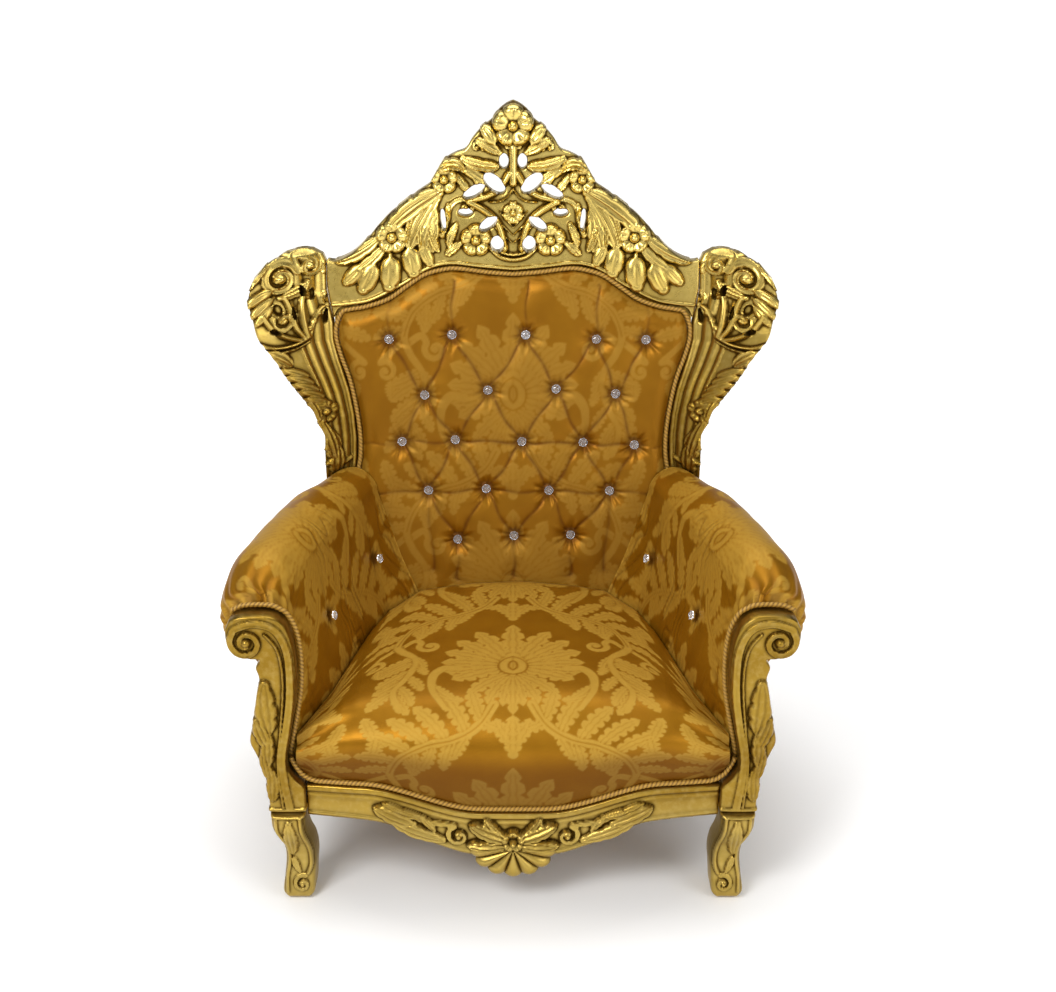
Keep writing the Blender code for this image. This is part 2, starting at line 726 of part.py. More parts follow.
def make_front_rail(parts, guides, gold):
    stations = [*STATIONS, RAIL_HALF]
    stations = [-x for x in stations[:0:-1]] + stations
    rings = []
    for x in stations:
        face = front_y(x)
        top = rail_top(x)
        share = abs(x) / RAIL_HALF
        low = float(np.interp(share, [p[0] for p in RAIL_UNDERSIDE], [p[1] for p in RAIL_UNDERSIDE]))
        rings.append([
            (x, face + RAIL_DEPTH, low), (x, face + RAIL_DEPTH, top), (x, face - 0.001, top),
            (x, face - 0.005, top - 0.010), (x, face, top - 0.020), (x, face - 0.002, low + 0.012),
            (x, face + 0.004, low),
        ])
    rail = add_object("front_rail", loft(rings), parts, gold)
    carve = Carver("rail_carving", on_front, guides, pairs=True)
    carve.alone(carve.shell, (0.0, 0.126), 0.084, 0.063, 7, 0.016)
    carve.leaf((0.010, 0.146), 18, 0.074, 0.034, 14, 0.014)
    carve.leaf((0.012, 0.136), -12, 0.070, 0.024, 20, 0.014)
    carve.alone(carve.rosette, (0.0, 0.146), 0.022, 5, 0.022)
    carve.scroll((0.104, 0.155), 0.022, 60, -1.0, 0.007, [(0.188, 0.196), (0.158, 0.180), (0.132, 0.176)])
    carve.leaf((0.132, 0.140), 20, 0.100, 0.024, 10)
    carve.leaf((0.196, 0.176), 22, 0.062, 0.028, 8, 0.008)
    carve.leaf((0.176, 0.196), 12, 0.070, 0.018, 28)
    carve.join_to(rail)


def make_arm_supports(parts, guides, gold):
    inner = offset_line(list(ARM_WELT) + list(SEAT_WELT_RISE), WELT_RADIUS + GAP)
    end = DRAWN_RAIL + GAP
    foot = [(end, RAIL_TOP), (end, LEG_HEIGHT + GAP), (LEG_SECTIONS[-1][2], LEG_HEIGHT + GAP)]
    outline = inner + foot + list(SUPPORT_EDGE)[::-1]
    mesh = board("arm_support", outline, [], SUPPORT_PROUD, SUPPORT_PROUD - ARM_SUPPORT_DEPTH, parts)
    support = add_object("arm_support_right", lay(mesh, on_post), parts, gold)

    def rule(across, up, relief):
        return on_post(across, up, relief + SUPPORT_PROUD)

    carve = Carver("support_carving", rule, guides, pairs=False)
    tail = [(0.409, 0.285), (0.424, 0.318), (0.414, 0.380), (0.405, 0.440), (0.402, 0.500)]
    tail += [(0.408, 0.552), (0.432, 0.588), (0.470, 0.594)]
    carve.scroll((0.484, 0.556), 0.034, 60, -1.3, 0.008, tail)
    carve.leaf((0.448, 0.420), -70, 0.085, 0.034, -20, 0.010)
    carve.leaf((0.446, 0.300), -80, 0.060, 0.030, 0, 0.008)
    carve.leaf((0.466, 0.352), -100, 0.050, 0.026, 0, 0.008)
    carve.join_to(support)
    mirrored(support, "arm_support_left", parts, gold)


def make_front_legs(parts, guides, gold):
    rings = []
    for height, drawn_inside, drawn_outside, forward in LEG_SECTIONS:
        inside = drawn_inside + spread(FRONT_FACE)
        outside = drawn_outside + spread(FRONT_FACE)
        z = height * (LEG_HEIGHT - GAP) / LEG_SECTIONS[-1][0]
        front = FRONT_FACE - forward
        back = front + LEG_DEPTH
        cut = LEG_CORNER
        rings.append([
            (inside + cut, front, z), (outside - cut, front, z), (outside, front + cut, z),
            (outside, back - cut, z), (outside - cut, back, z), (inside + cut, back, z),
            (inside, back - cut, z), (inside, front + cut, z),
        ])
    leg = add_object("front_leg_right", loft(rings), parts, gold)
    carve = Carver("leg_carving", on_leg, guides, pairs=False)
    carve.scroll((0.406, 0.038), 0.016, 90, -1.2, 0.006)
    border = [(0.402, 0.176), (0.398, 0.146), (0.390, 0.112), (0.389, 0.075), (0.400, 0.054)]
    carve.line(border, 0.006, rise=0.006)
    carve.join_to(leg)
    mirrored(leg, "front_leg_left", parts, gold)


def panel_ring(shrink, relief):
    """The panel's outline drawn in towards its middle, at a relief."""
    outline = both_sides(panel_outline())
    heights = [point[1] for point in outline]
    middle = (min(heights) + max(heights)) / 2
    narrow = 1 - shrink / max(point[0] for point in outline)
    lower = 1 - shrink / (max(heights) - middle)
    return [on_back(x * narrow, middle + (z - middle) * lower, relief) for x, z in outline]


def make_back_pad(parts, cutters, cloth):
    behind = BOARD_PROUD - BOARD
    rings = [panel_ring(0.0, behind), panel_ring(0.0, 0.0), panel_ring(0.018, PAD_PROUD)]
    pad = add_object("back_pad", loft(rings), parts, cloth)
    for i, place in enumerate(BACK_BUTTONS):
        x, z = drawn_to_back(*place)
        mesh = bpy.data.meshes.new(f"dimple_{i + 1:02d}")
        shape = bmesh.new()
        bmesh.ops.create_cone(
            shape, cap_ends=True, segments=6, radius1=BUTTON_RADIUS + 0.002, radius2=DIMPLE_MOUTH,
            depth=DIMPLE_DEPTH + 0.002,
            matrix=Matrix.Translation((x, z, PAD_PROUD - DIMPLE_DEPTH / 2 + 0.001)),
        )
        shape.to_mesh(mesh)
        shape.free()
        add_object(mesh.name, lay(mesh, on_back), cutters)
    cut = pad.modifiers.new("Dimples", "BOOLEAN")
    cut.operation = "DIFFERENCE"
    cut.operand_type = "COLLECTION"
    cut.collection = cutters


def make_back_cover(parts, cloth):
    half = post_inside() - GAP
    outline = panel_outline(COVER_LAP)[:PANEL_CORNER]
    outline[0] = (0.0, outline[0][1])
    outline += [(half, outline[-1][1] - 0.004), (half, RAIL_TOP + GAP)]
    front = BOARD_PROUD - BOARD - GAP
    mesh = board("back_cover", both_sides(outline), [], front, front - COVER_THICK, parts)
    add_object("back_cover", lay(mesh, on_back), parts, cloth)


def make_buttons(parts, crystal):
    def button(name):
        mesh = bpy.data.meshes.new(name)
        shape = bmesh.new()
        bmesh.ops.create_cone(
            shape, cap_ends=True, segments=6, radius1=BUTTON_RADIUS, radius2=0.6 * BUTTON_RADIUS,
            depth=BUTTON_HEIGHT,
        )
        shape.to_mesh(mesh)
        shape.free()
        return mesh

    for i, place in enumerate(BACK_BUTTONS):
        x, z = drawn_to_back(*place)
        name = f"back_button_{i + 1:02d}"
        mesh = button(name)
        relief = PAD_PROUD - DIMPLE_DEPTH + GAP + BUTTON_HEIGHT / 2
        mesh.transform(Matrix.Translation((x, z, relief)))
        add_object(name, lay(mesh, on_back), parts, crystal)
    for i, (y, z) in enumerate(ARM_BUTTONS):
        name = f"arm_button_right_{i + 1}"
        mesh = button(name)
        lean = arm_face(y, z + BUTTON_RADIUS) - arm_face(y, z - BUTTON_RADIUS)
        run = arm_face(y + BUTTON_RADIUS, z) - arm_face(y - BUTTON_RADIUS, z)
        inward = lean.cross(run).normalized()
        if inward.x > 0:
            inward = -inward
        mesh.transform(inward.to_track_quat("Z", "Y").to_matrix().to_4x4())
        middle = arm_face(y, z) + inward * (BUTTON_HEIGHT / 2 + SOFT_GAP)
        mesh.transform(Matrix.Translation(middle))
        thing = add_object(name, mesh, parts, crystal)
        mirrored(thing, f"arm_button_left_{i + 1}", parts, crystal)


def roll_centre(y):
    """Middle of the rolled arm and its radius at a depth."""
    depths, across, up, share = zip(*ARM_ROLL)
    x = DRAWN_RAIL + ARM_OVERHANG + float(np.interp(y, depths, across)) + spread(y)
    z = ARM_TOP + float(np.interp(y, depths, up))
    return x, z, ROLL_RADIUS * float(np.interp(y, depths, share))


def crease_line():
    """The crease between seat and arm, with its points moved out as the chair's sides are."""
    return [(x + spread(y) if x > STATIONS[4] else x, y, z) for x, y, z in CREASE]


def crease_x(y):
    line = crease_line()[:CREASE_ARM]
    return float(np.interp(y, [p[1] for p in line], [p[0] for p in line]))


def arm_face(y, z):
    """A point of the arm's inner face: upright to the seat's edge, then leaning out to the roll."""
    x, centre, radius = roll_centre(y)
    foot = crease_x(y) + SOFT_GAP
    return Vector((float(np.interp(z, [SEAT_EDGE, centre], [foot, x - radius])), y, z))


def arm_outside(y):
    """X of the arm's flat outer side, which runs straight from the front post to the back post."""
    share = (y - FRONT_FACE) / (BACK_SET - FRONT_FACE)
    return ARM_OUTSIDE_FRONT + (ARM_OUTSIDE_BACK - ARM_OUTSIDE_FRONT) * share


def arm_ring(y, end=False):
    """The arm's section at a depth, from its inner foot over the roll to its outer foot."""
    x, z, radius = roll_centre(y)
    foot = crease_x(y) + SOFT_GAP
    outside = arm_outside(y)
    points = [(foot, ARM_FOOT), (foot, SEAT_EDGE), ((foot + x - radius) / 2, (SEAT_EDGE + z) / 2)]
    for degrees in (172, 135, 98, 61, 24, -13, -50):
        turn = math.radians(degrees)
        points.append((x + radius * math.cos(turn), z + radius * math.sin(turn)))
    points += [(outside, z - radius * 0.95), (outside, ARM_FOOT)]
    ring = []
    for across, up in points:
        depth = y
        if end and up > panel_outline()[-1][1]:
            depth = back_face(up) - PAD_PROUD - 3 * SOFT_GAP - wing_forward(across, up)
        ring.append((across, depth, up))
    return ring


def make_arm_pads(parts, cloth):
    rings = [arm_ring(y) for y in (SUPPORT_BACK + GAP, *ARM_DEPTHS)]
    rings.append(arm_ring(CREASE[CREASE_ARM - 1][1], end=True))
    pad = add_object("arm_pad_right", loft(rings), parts, cloth)
    mirrored(pad, "arm_pad_left", parts, cloth)


def make_side_panels(parts, cloth):
    rings = []
    for y in (SUPPORT_BACK + GAP, *ARM_DEPTHS, BACK_SET):
        x, z, radius = roll_centre(y)
        inside = arm_outside(y) + GAP
        outside = inside + SIDE_PANEL_THICK
        low = RAIL_TOP + GAP
        corners = [(inside, low), (inside, z - radius), (outside, z - radius), (outside, low)]
        ring = []
        for across, up in corners:
            ring.append((across, y if y < BACK_SET else post_front(up) - GAP, up))
        rings.append(ring)
    panel = add_object("side_panel_right", loft(rings), parts, cloth)
    mirrored(panel, "side_panel_left", parts, cloth)


def make_seat_pad(parts, cloth):
    """Sections from side to side: a bulging front, a crowned top and the crease at the back."""
    line = crease_line()[::-1]
    halves = []
    for x in (*STATIONS, line[-2][0], line[-1][0]):
        rear = float(np.interp(x, [p[0] for p in line], [p[1] for p in line]))
        edge = float(np.interp(x, [p[0] for p in line], [p[2] for p in line]))
        halves.append((x, rear, edge))
    stations = [(-x, y, z) for x, y, z in halves[:0:-1]] + halves
    rings = []
    for x, rear, edge in stations:
        low = rail_top(x) + SOFT_GAP / 2
        face = front_y(x) + 2 * WELT_RADIUS + SOFT_GAP
        if abs(x) > RAIL_HALF:
            low = 0.290
            edge = 0.352
        crown = SEAT_CROWN * (1.0 - (x / RAIL_HALF) ** 2)
        deep = rear - face
        foot = min(rear, post_front(RAIL_TOP) - 2 * SOFT_GAP)
        rings.append([
            (x, face, low), (x, face, low + 2 * WELT_RADIUS),
            (x, face - 0.018, low + (edge - low) * 0.45), (x, face - 0.014, low + (edge - low) * 0.72),
            (x, face + 0.10 * deep, edge - 0.004),
            (x, face + 0.28 * deep, edge + crown), (x, face + 0.65 * deep, edge + crown),
            (x, rear, edge - 0.006), (x, foot, low),
        ])
    add_object("seat_pad", loft(rings), parts, cloth)


def make_welts(parts, braid):
    edge = panel_outline(WELT_RADIUS + GAP)[: PANEL_FOOT + 1]
    edge[0] = (0.0, edge[0][1])
    path = [on_back(x, z, 0.002) for x, z in both_sides(edge)]
    add_object("back_welt", cord("back_welt", path, WELT_RADIUS, parts, 4), parts, braid)
    path = []
    for x in [-x for x in STATIONS[:0:-1]] + list(STATIONS):
        path.append((x, front_y(x) + WELT_RADIUS, rail_top(x) + WELT_RADIUS + SOFT_GAP / 2))
    add_object("seat_welt", cord("seat_welt", path, WELT_RADIUS, parts, 4), parts, braid)
    depth = SUPPORT_BACK - WELT_RADIUS - GAP
    path = [(x + spread(FRONT_FACE), depth, z) for x, z in ARM_WELT]
    welt = add_object("arm_welt_right", cord("arm_welt", path, WELT_RADIUS, parts, 4), parts, braid)
    mirrored(welt, "arm_welt_left", parts, braid)


def stand_on_origin(parts):
    """Moves the chair so that the middle of its box is over the origin."""
    bpy.context.view_layer.update()
    graph = bpy.context.evaluated_depsgraph_get()
    depths = []
    for thing in parts.objects:
        mesh = thing.evaluated_get(graph).to_mesh()
        depths += [vertex.co.y for vertex in mesh.vertices]
        thing.evaluated_get(graph).to_mesh_clear()
    middle = (min(depths) + max(depths)) / 2
    for thing in bpy.data.objects:
        thing.location.y -= middle


def main():
    clear_scene()
    parts = make_collection("throne_armchair")
    cutters = make_collection("dimple_cutters", shown=False)
    guide_group = make_collection("section_guides", shown=False)
    guides = {
        "leaf": section_guide("leaf_section", ((-1, -0.40), (0, 0.50), (1, -0.40)), guide_group),
        "bead": section_guide("bead_section", ((-1, -0.8), (0, 0.75), (1, -0.8)), guide_group),
    }
    gold = make_material("gilded_wood", (0.64, 0.44, 0.09), 0.32, 0.9)
    cloth = make_material("gold_damask", (0.45, 0.27, 0.04), 0.45, 0.0)
    braid = make_material("gold_welt", (0.38, 0.22, 0.03), 0.50, 0.0)
    crystal = make_material("crystal", (0.85, 0.85, 0.88), 0.05, 0.0)
    make_crest(parts, guides, gold)
    make_wings(parts, guides, gold)
    make_back_posts(parts, gold)
    make_rails(parts, gold)
    make_front_rail(parts, guides, gold)
    make_arm_supports(parts, guides, gold)
    make_front_legs(parts, guides, gold)
    make_back_pad(parts, cutters, cloth)
    make_back_cover(parts, cloth)
    make_buttons(parts, crystal)
    make_arm_pads(parts, cloth)
    make_side_panels(parts, cloth)
    make_seat_pad(parts, cloth)
    make_welts(parts, braid)
    stand_on_origin(parts)


main()
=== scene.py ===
"""Looks of the gilded throne armchair: carving, damask, cords and crystals built round its solids.

Metres, +Z up, the chair faces -Y. Carved sheets are drawn flat as (across, up) and laid by a rule.
Left pieces are the right ones mirrored.
"""

import functools
import math

import bmesh
import bpy
import numpy as np
from mathutils import Matrix, Vector


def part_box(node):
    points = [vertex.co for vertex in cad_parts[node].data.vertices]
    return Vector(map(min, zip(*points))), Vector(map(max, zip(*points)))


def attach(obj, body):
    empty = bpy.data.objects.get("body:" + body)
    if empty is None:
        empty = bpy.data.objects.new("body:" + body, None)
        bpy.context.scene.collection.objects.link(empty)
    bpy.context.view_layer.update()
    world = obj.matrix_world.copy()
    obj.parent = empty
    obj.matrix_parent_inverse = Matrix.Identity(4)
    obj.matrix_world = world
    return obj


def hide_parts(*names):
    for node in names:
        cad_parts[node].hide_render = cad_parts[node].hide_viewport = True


bl_info = {
    "name": "Throne armchair looks",
    "version": (1, 0, 0),
    "blender": (4, 5, 0),
    "location": "View3D > Sidebar > Throne",
    "description": "Builds the throne's carving, upholstery, crystals and finishes round its solids",
    "category": "Add Mesh",
}

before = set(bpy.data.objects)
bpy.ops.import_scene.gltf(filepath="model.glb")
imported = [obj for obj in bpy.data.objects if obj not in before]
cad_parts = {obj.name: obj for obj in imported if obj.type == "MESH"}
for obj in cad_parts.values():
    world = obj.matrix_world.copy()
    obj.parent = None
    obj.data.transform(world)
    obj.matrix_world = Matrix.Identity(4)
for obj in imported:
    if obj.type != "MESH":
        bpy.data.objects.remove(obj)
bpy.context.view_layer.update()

# The drawing's depths are moved by this much, so that its arm pads start where the solid ones do
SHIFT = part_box("arm_pad_right")[0].y + 0.4047

# Sizes shared with the solids, in the drawing's places
GAP = 0.0003
SEAT_TOP = 0.420
SEAT_EDGE = 0.400
FRONT_FACE = -0.430
FRONT_BOW = 0.028
RAIL_HALF = 0.392
RAIL_TOP = 0.250
RAIL_DROP = 0.046
RAIL_DEPTH = 0.040
LEG_HEIGHT = 0.1997
LEG_DEPTH = 0.070
SUPPORT_PROUD = 0.020
SUPPORT_DEPTH = 0.045
SUPPORT_BACK = FRONT_FACE - SUPPORT_PROUD + SUPPORT_DEPTH
BACK_SET = 0.140
BACK_RAKE = 0.158
BOARD = 0.040
BOARD_PROUD = 0.004
PAD_PROUD = 0.016
WING_SPREAD = 0.203
WING_REACH = 0.130
WING_FLAT = 0.012
WING_THICK = 0.026
WELT_RADIUS = 0.005
ARM_OUTSIDE_FRONT = 0.450
ARM_OUTSIDE_BACK = 0.3745
ARM_END = 0.112
FOOT_GAP = 0.002
# Half the width and the whole length over which the damask's figure repeats
FIGURE_HALF = 0.30
FIGURE_REPEAT = 0.42
# Deepest fold between the back's buttons, and the length of one turn of the cords
FOLD_DEPTH = 0.0082
PLY_TURN = 0.016

# Right halves of the outlines, as in the solids
PANEL_EDGE = (
    (0.0, 1.081), (0.054, 1.085), (0.110, 1.092), (0.140, 1.092), (0.184, 1.081), (0.221, 1.058),
    (0.263, 1.030), (0.310, 1.014), (0.345, 1.008), (0.361, 1.003), (0.372, 0.977), (0.372, 0.950),
    (0.362, 0.914), (0.347, 0.872), (0.337, 0.830), (0.329, 0.782), (0.325, 0.740), (0.326, 0.698),
    (0.333, 0.661), (0.342, 0.627), (0.347, 0.580), (0.348, 0.510), (0.348, 0.432),
)
CREST_EDGE = (
    (0.0, 1.438), (0.014, 1.432), (0.030, 1.420), (0.041, 1.404), (0.065, 1.385), (0.085, 1.364),
    (0.100, 1.342), (0.122, 1.333), (0.142, 1.321), (0.157, 1.298), (0.173, 1.274), (0.200, 1.255),
    (0.237, 1.227), (0.262, 1.209), (0.290, 1.180), (0.312, 1.153), (0.335, 1.131), (0.358, 1.118),
    (0.378, 1.112), (0.3958, 1.114),
)
CREST_LOWER = (
    (0.3958, 1.090), (0.3955, 1.060), (0.3890, 1.022), (0.3842, 0.998), (0.3815, 0.9960), (0.3770, 1.0065),
    (0.368, 1.0150), (0.345, 1.0200), (0.300, 1.030), (0.235, 1.062), (0.184, 1.093), (0.135, 1.105),
    (0.070, 1.099), (0.0, 1.093),
)
# Openings through the crest: middle, half length, half width and the angle of the length
CREST_OPENINGS = (
    (0.020, 1.317, 0.016, 0.010, 90), (0.040, 1.272, 0.028, 0.015, 42), (0.083, 1.256, 0.026, 0.011, -30),
    (0.101, 1.213, 0.016, 0.009, 0), (0.053, 1.190, 0.023, 0.011, -38), (0.034, 1.148, 0.017, 0.014, 90),
    (0.148, 1.198, 0.023, 0.006, 85),
)
# The same for the hollows of the wings, which are backed
WING_HOLLOWS = (
    (0.490, 1.028, 0.013, 0.009, 60), (0.448, 1.060, 0.012, 0.005, 80), (0.427, 1.050, 0.012, 0.007, 90),
    (0.461, 1.016, 0.016, 0.006, 75), (0.400, 1.000, 0.016, 0.006, 100), (0.496, 0.985, 0.010, 0.005, 30),
)
OPENING_LINE = (
    (0.358, 0.552), (0.345, 0.640), (0.338, 0.700), (0.337, 0.740), (0.341, 0.790), (0.351, 0.843),
    (0.372, 0.910), (0.382, 0.950), (0.383, 0.985), (0.3965, 1.050), (0.3965, 1.114), (0.403, 1.128),
    (0.424, 1.139),
)
WING_EDGE = (
    (0.398, 0.560), (0.401, 0.700), (0.403, 0.760), (0.424, 0.815), (0.462, 0.872), (0.502, 0.935),
    (0.527, 0.975), (0.537, 1.015), (0.544, 1.045), (0.542, 1.070), (0.527, 1.097), (0.506, 1.118),
    (0.474, 1.139), (0.424, 1.139),
)
# The carving of the wing's head may reach this line, a little beyond the solid edge
WING_LIMIT = (
    (0.424, 1.146), (0.474, 1.146), (0.512, 1.122), (0.535, 1.097), (0.547, 1.070), (0.548, 1.045),
)
# Width of the wing's fluted inner band at each height
FLUTE_BAND = ((0.560, 0.050), (0.760, 0.052), (0.872, 0.058), (0.975, 0.070), (1.151, 0.085))
ARM_WELT = (
    (0.514, 0.602), (0.496, 0.611), (0.470, 0.6135), (0.442, 0.612), (0.426, 0.605), (0.413, 0.595),
    (0.400, 0.568), (0.394, 0.536), (0.392, 0.498), (0.394, 0.452), (0.400, 0.412), (0.408, 0.372),
    (0.415, 0.338), (0.419, 0.318), (0.4205, 0.302),
)
SUPPORT_INNER = (
    (0.514, 0.596), (0.494, 0.605), (0.444, 0.606), (0.418, 0.591), (0.406, 0.566), (0.400, 0.535),
    (0.3975, 0.498), (0.3995, 0.453), (0.4055, 0.413), (0.4135, 0.373), (0.4205, 0.339), (0.4245, 0.318),
    (0.4225, 0.294), (0.4115, 0.272), (0.3965, 0.2565), (0.3925, 0.250), (0.3925, 0.2003),
)
SUPPORT_EDGE = (
    (0.522, 0.580), (0.520, 0.553), (0.506, 0.529), (0.482, 0.521), (0.463, 0.519), (0.470, 0.503),
    (0.465, 0.478), (0.472, 0.432), (0.484, 0.380), (0.489, 0.350), (0.480, 0.325), (0.468, 0.292),
    (0.461, 0.244), (0.460, 0.2003),
)
# Front leg at each height: inside, outside, and how far it stands forward of the rail's face
LEG_SECTIONS = (
    (0.000, 0.390, 0.442, 0.008), (0.018, 0.385, 0.446, 0.012), (0.050, 0.383, 0.442, 0.006),
    (0.084, 0.381, 0.439, 0.000), (0.116, 0.384, 0.441, 0.006), (0.142, 0.390, 0.450, 0.018),
    (0.168, 0.394, 0.458, 0.026), (LEG_HEIGHT, 0.394, 0.460, 0.022),
)
RAIL_UNDERSIDE = (
    (0.0, 0.106), (0.082, 0.112), (0.136, 0.128), (0.180, 0.146), (0.240, 0.172), (0.300, 0.180),
    (0.392, 0.183),
)
# The seat's cord rises beside the posts at its ends
WELT_RISE = (
    (0.372, 0.2560), (0.388, 0.2600), (0.400, 0.2690), (0.408, 0.2810), (0.414, 0.2930), (0.4185, 0.3050),
)
# The seat's rear and side edge, as (across, depth, up)
CREASE = (
    (0.407, -0.4040, 0.345), (0.385, -0.366, 0.360), (0.352, -0.285, 0.375), (0.325, -0.180, 0.390),
    (0.296, -0.058, 0.400), (0.264, 0.038, 0.405), (0.204, 0.112, 0.410), (0.110, 0.150, 0.417),
    (0.0, 0.160, 0.420),
)
# Middle and radius of the rolled arm at each depth
ARM_ROLL = (
    (-0.4045, 0.468, 0.578, 0.0544), (-0.375, 0.478, 0.580, 0.0639), (-0.300, 0.470, 0.610, 0.0680),
    (-0.200, 0.447, 0.618, 0.0700), (-0.100, 0.424, 0.622, 0.0700), (0.0, 0.396, 0.624, 0.0700),
    (0.060, 0.374, 0.622, 0.0680), (0.130, 0.350, 0.617, 0.0653),
)
# Buttons of the back by row, as (across, up) on the panel, and of the arms, as (depth, up)
BUTTON_ROWS = (
    ((-0.265, 0.9505), (-0.1305, 0.960), (0.027, 0.9595), (0.178, 0.9505), (0.284, 0.9495)),
    ((-0.190, 0.832), (-0.054, 0.8426), (0.0926, 0.845), (0.2205, 0.835)),
    ((-0.240, 0.732), (-0.125, 0.736), (0.019, 0.732), (0.1516, 0.7305), (0.2626, 0.725)),
    ((-0.184, 0.626), (-0.058, 0.6295), (0.078, 0.626), (0.210, 0.625)),
    ((-0.121, 0.518), (0.002, 0.526), (0.126, 0.528)),
)
ARM_BUTTONS = ((-0.210, 0.500), (0.045, 0.515))


def through(points, count, closed=False):
    """A smooth curve through the points: p = (2b + (c-a)t + (2a-5b+4c-d)t^2 + (3b-a-3c+d)t^3) / 2."""
    line = np.asarray(points, float)
    size = len(line)
    spans = size if closed else size - 1
    place = np.linspace(0, spans, count, endpoint=not closed)
    first = np.minimum(place.astype(int), spans - 1)
    t = (place - first).reshape(-1, *[1] * (line.ndim - 1))

    def at(index):
        return line[index % size] if closed else line[np.clip(index, 0, size - 1)]

    a, b, c, d = at(first - 1), at(first), at(first + 1), at(first + 2)
    return (2 * b + (c - a) * t + (2 * a - 5 * b + 4 * c - d) * t**2 + (3 * b - a - 3 * c + d) * t**3) / 2


def lengths(line):
    """Length along the line up to each of its points."""
    return np.concatenate([[0.0], np.cumsum(np.linalg.norm(np.diff(line, axis=0), axis=1))])


def unit(vectors):
    return vectors / (np.linalg.norm(vectors, axis=-1, keepdims=True) + 1e-12)


def evened(line, step):
    """The same line with its points a step apart, by length along it."""
    run = lengths(line)
    count = max(int(run[-1] / step), 2) + 1
    places = np.linspace(0, run[-1], count)
    return np.stack([np.interp(places, run, line[:, k]) for k in range(line.shape[1])], axis=1)


def closed_both(edge):
    """The right half of an outline closed by its own mirror image."""
    return np.concatenate([edge, edge[::-1] * (-1, 1)])


def both_sides(line):
    """A line that starts on the middle, made whole from left to right."""
    return np.concatenate([line[:0:-1] * (-1, 1), line])


def softened(field, reach):
    """The field blurred by a bell curve of this reach in samples, by way of its waves."""
    pad = int(3 * reach) + 1
    wide = np.pad(field, pad, mode="edge")
    waves = [np.exp(-2 * (math.pi * reach * np.fft.fftfreq(n)) ** 2) for n in wide.shape]
    found = np.fft.ifft2(np.fft.fft2(wide) * waves[0][:, None] * waves[1][None, :]).real
    return found[pad:-pad, pad:-pad]


def unevenness(shape, reach, seed):
    """Smooth random numbers from about -1 to 1, the same on each run."""
    rough = np.random.default_rng(seed).normal(size=shape)
    found = softened(rough, reach)
    return found / (3 * found.std() + 1e-9)


def ease(value, low, high):
    """0 below low, 1 above high and 3t^2 - 2t^3 between."""
    t = np.clip((value - low) / (high - low), 0.0, 1.0)
    return t * t * (3 - 2 * t)


def from_segment(x, z, start, end):
    """The share f of the segment nearest to each place, and the way from that point to the place.

    f = (place - start) . (end - start) / |end - start|^2, kept from 0 to 1.
    """
    run = (end[0] - start[0], end[1] - start[1])
    size = run[0] ** 2 + run[1] ** 2 + 1e-15
    f = np.clip(((x - start[0]) * run[0] + (z - start[1]) * run[1]) / size, 0, 1)
    return f, x - start[0] - f * run[0], z - start[1] - f * run[1]


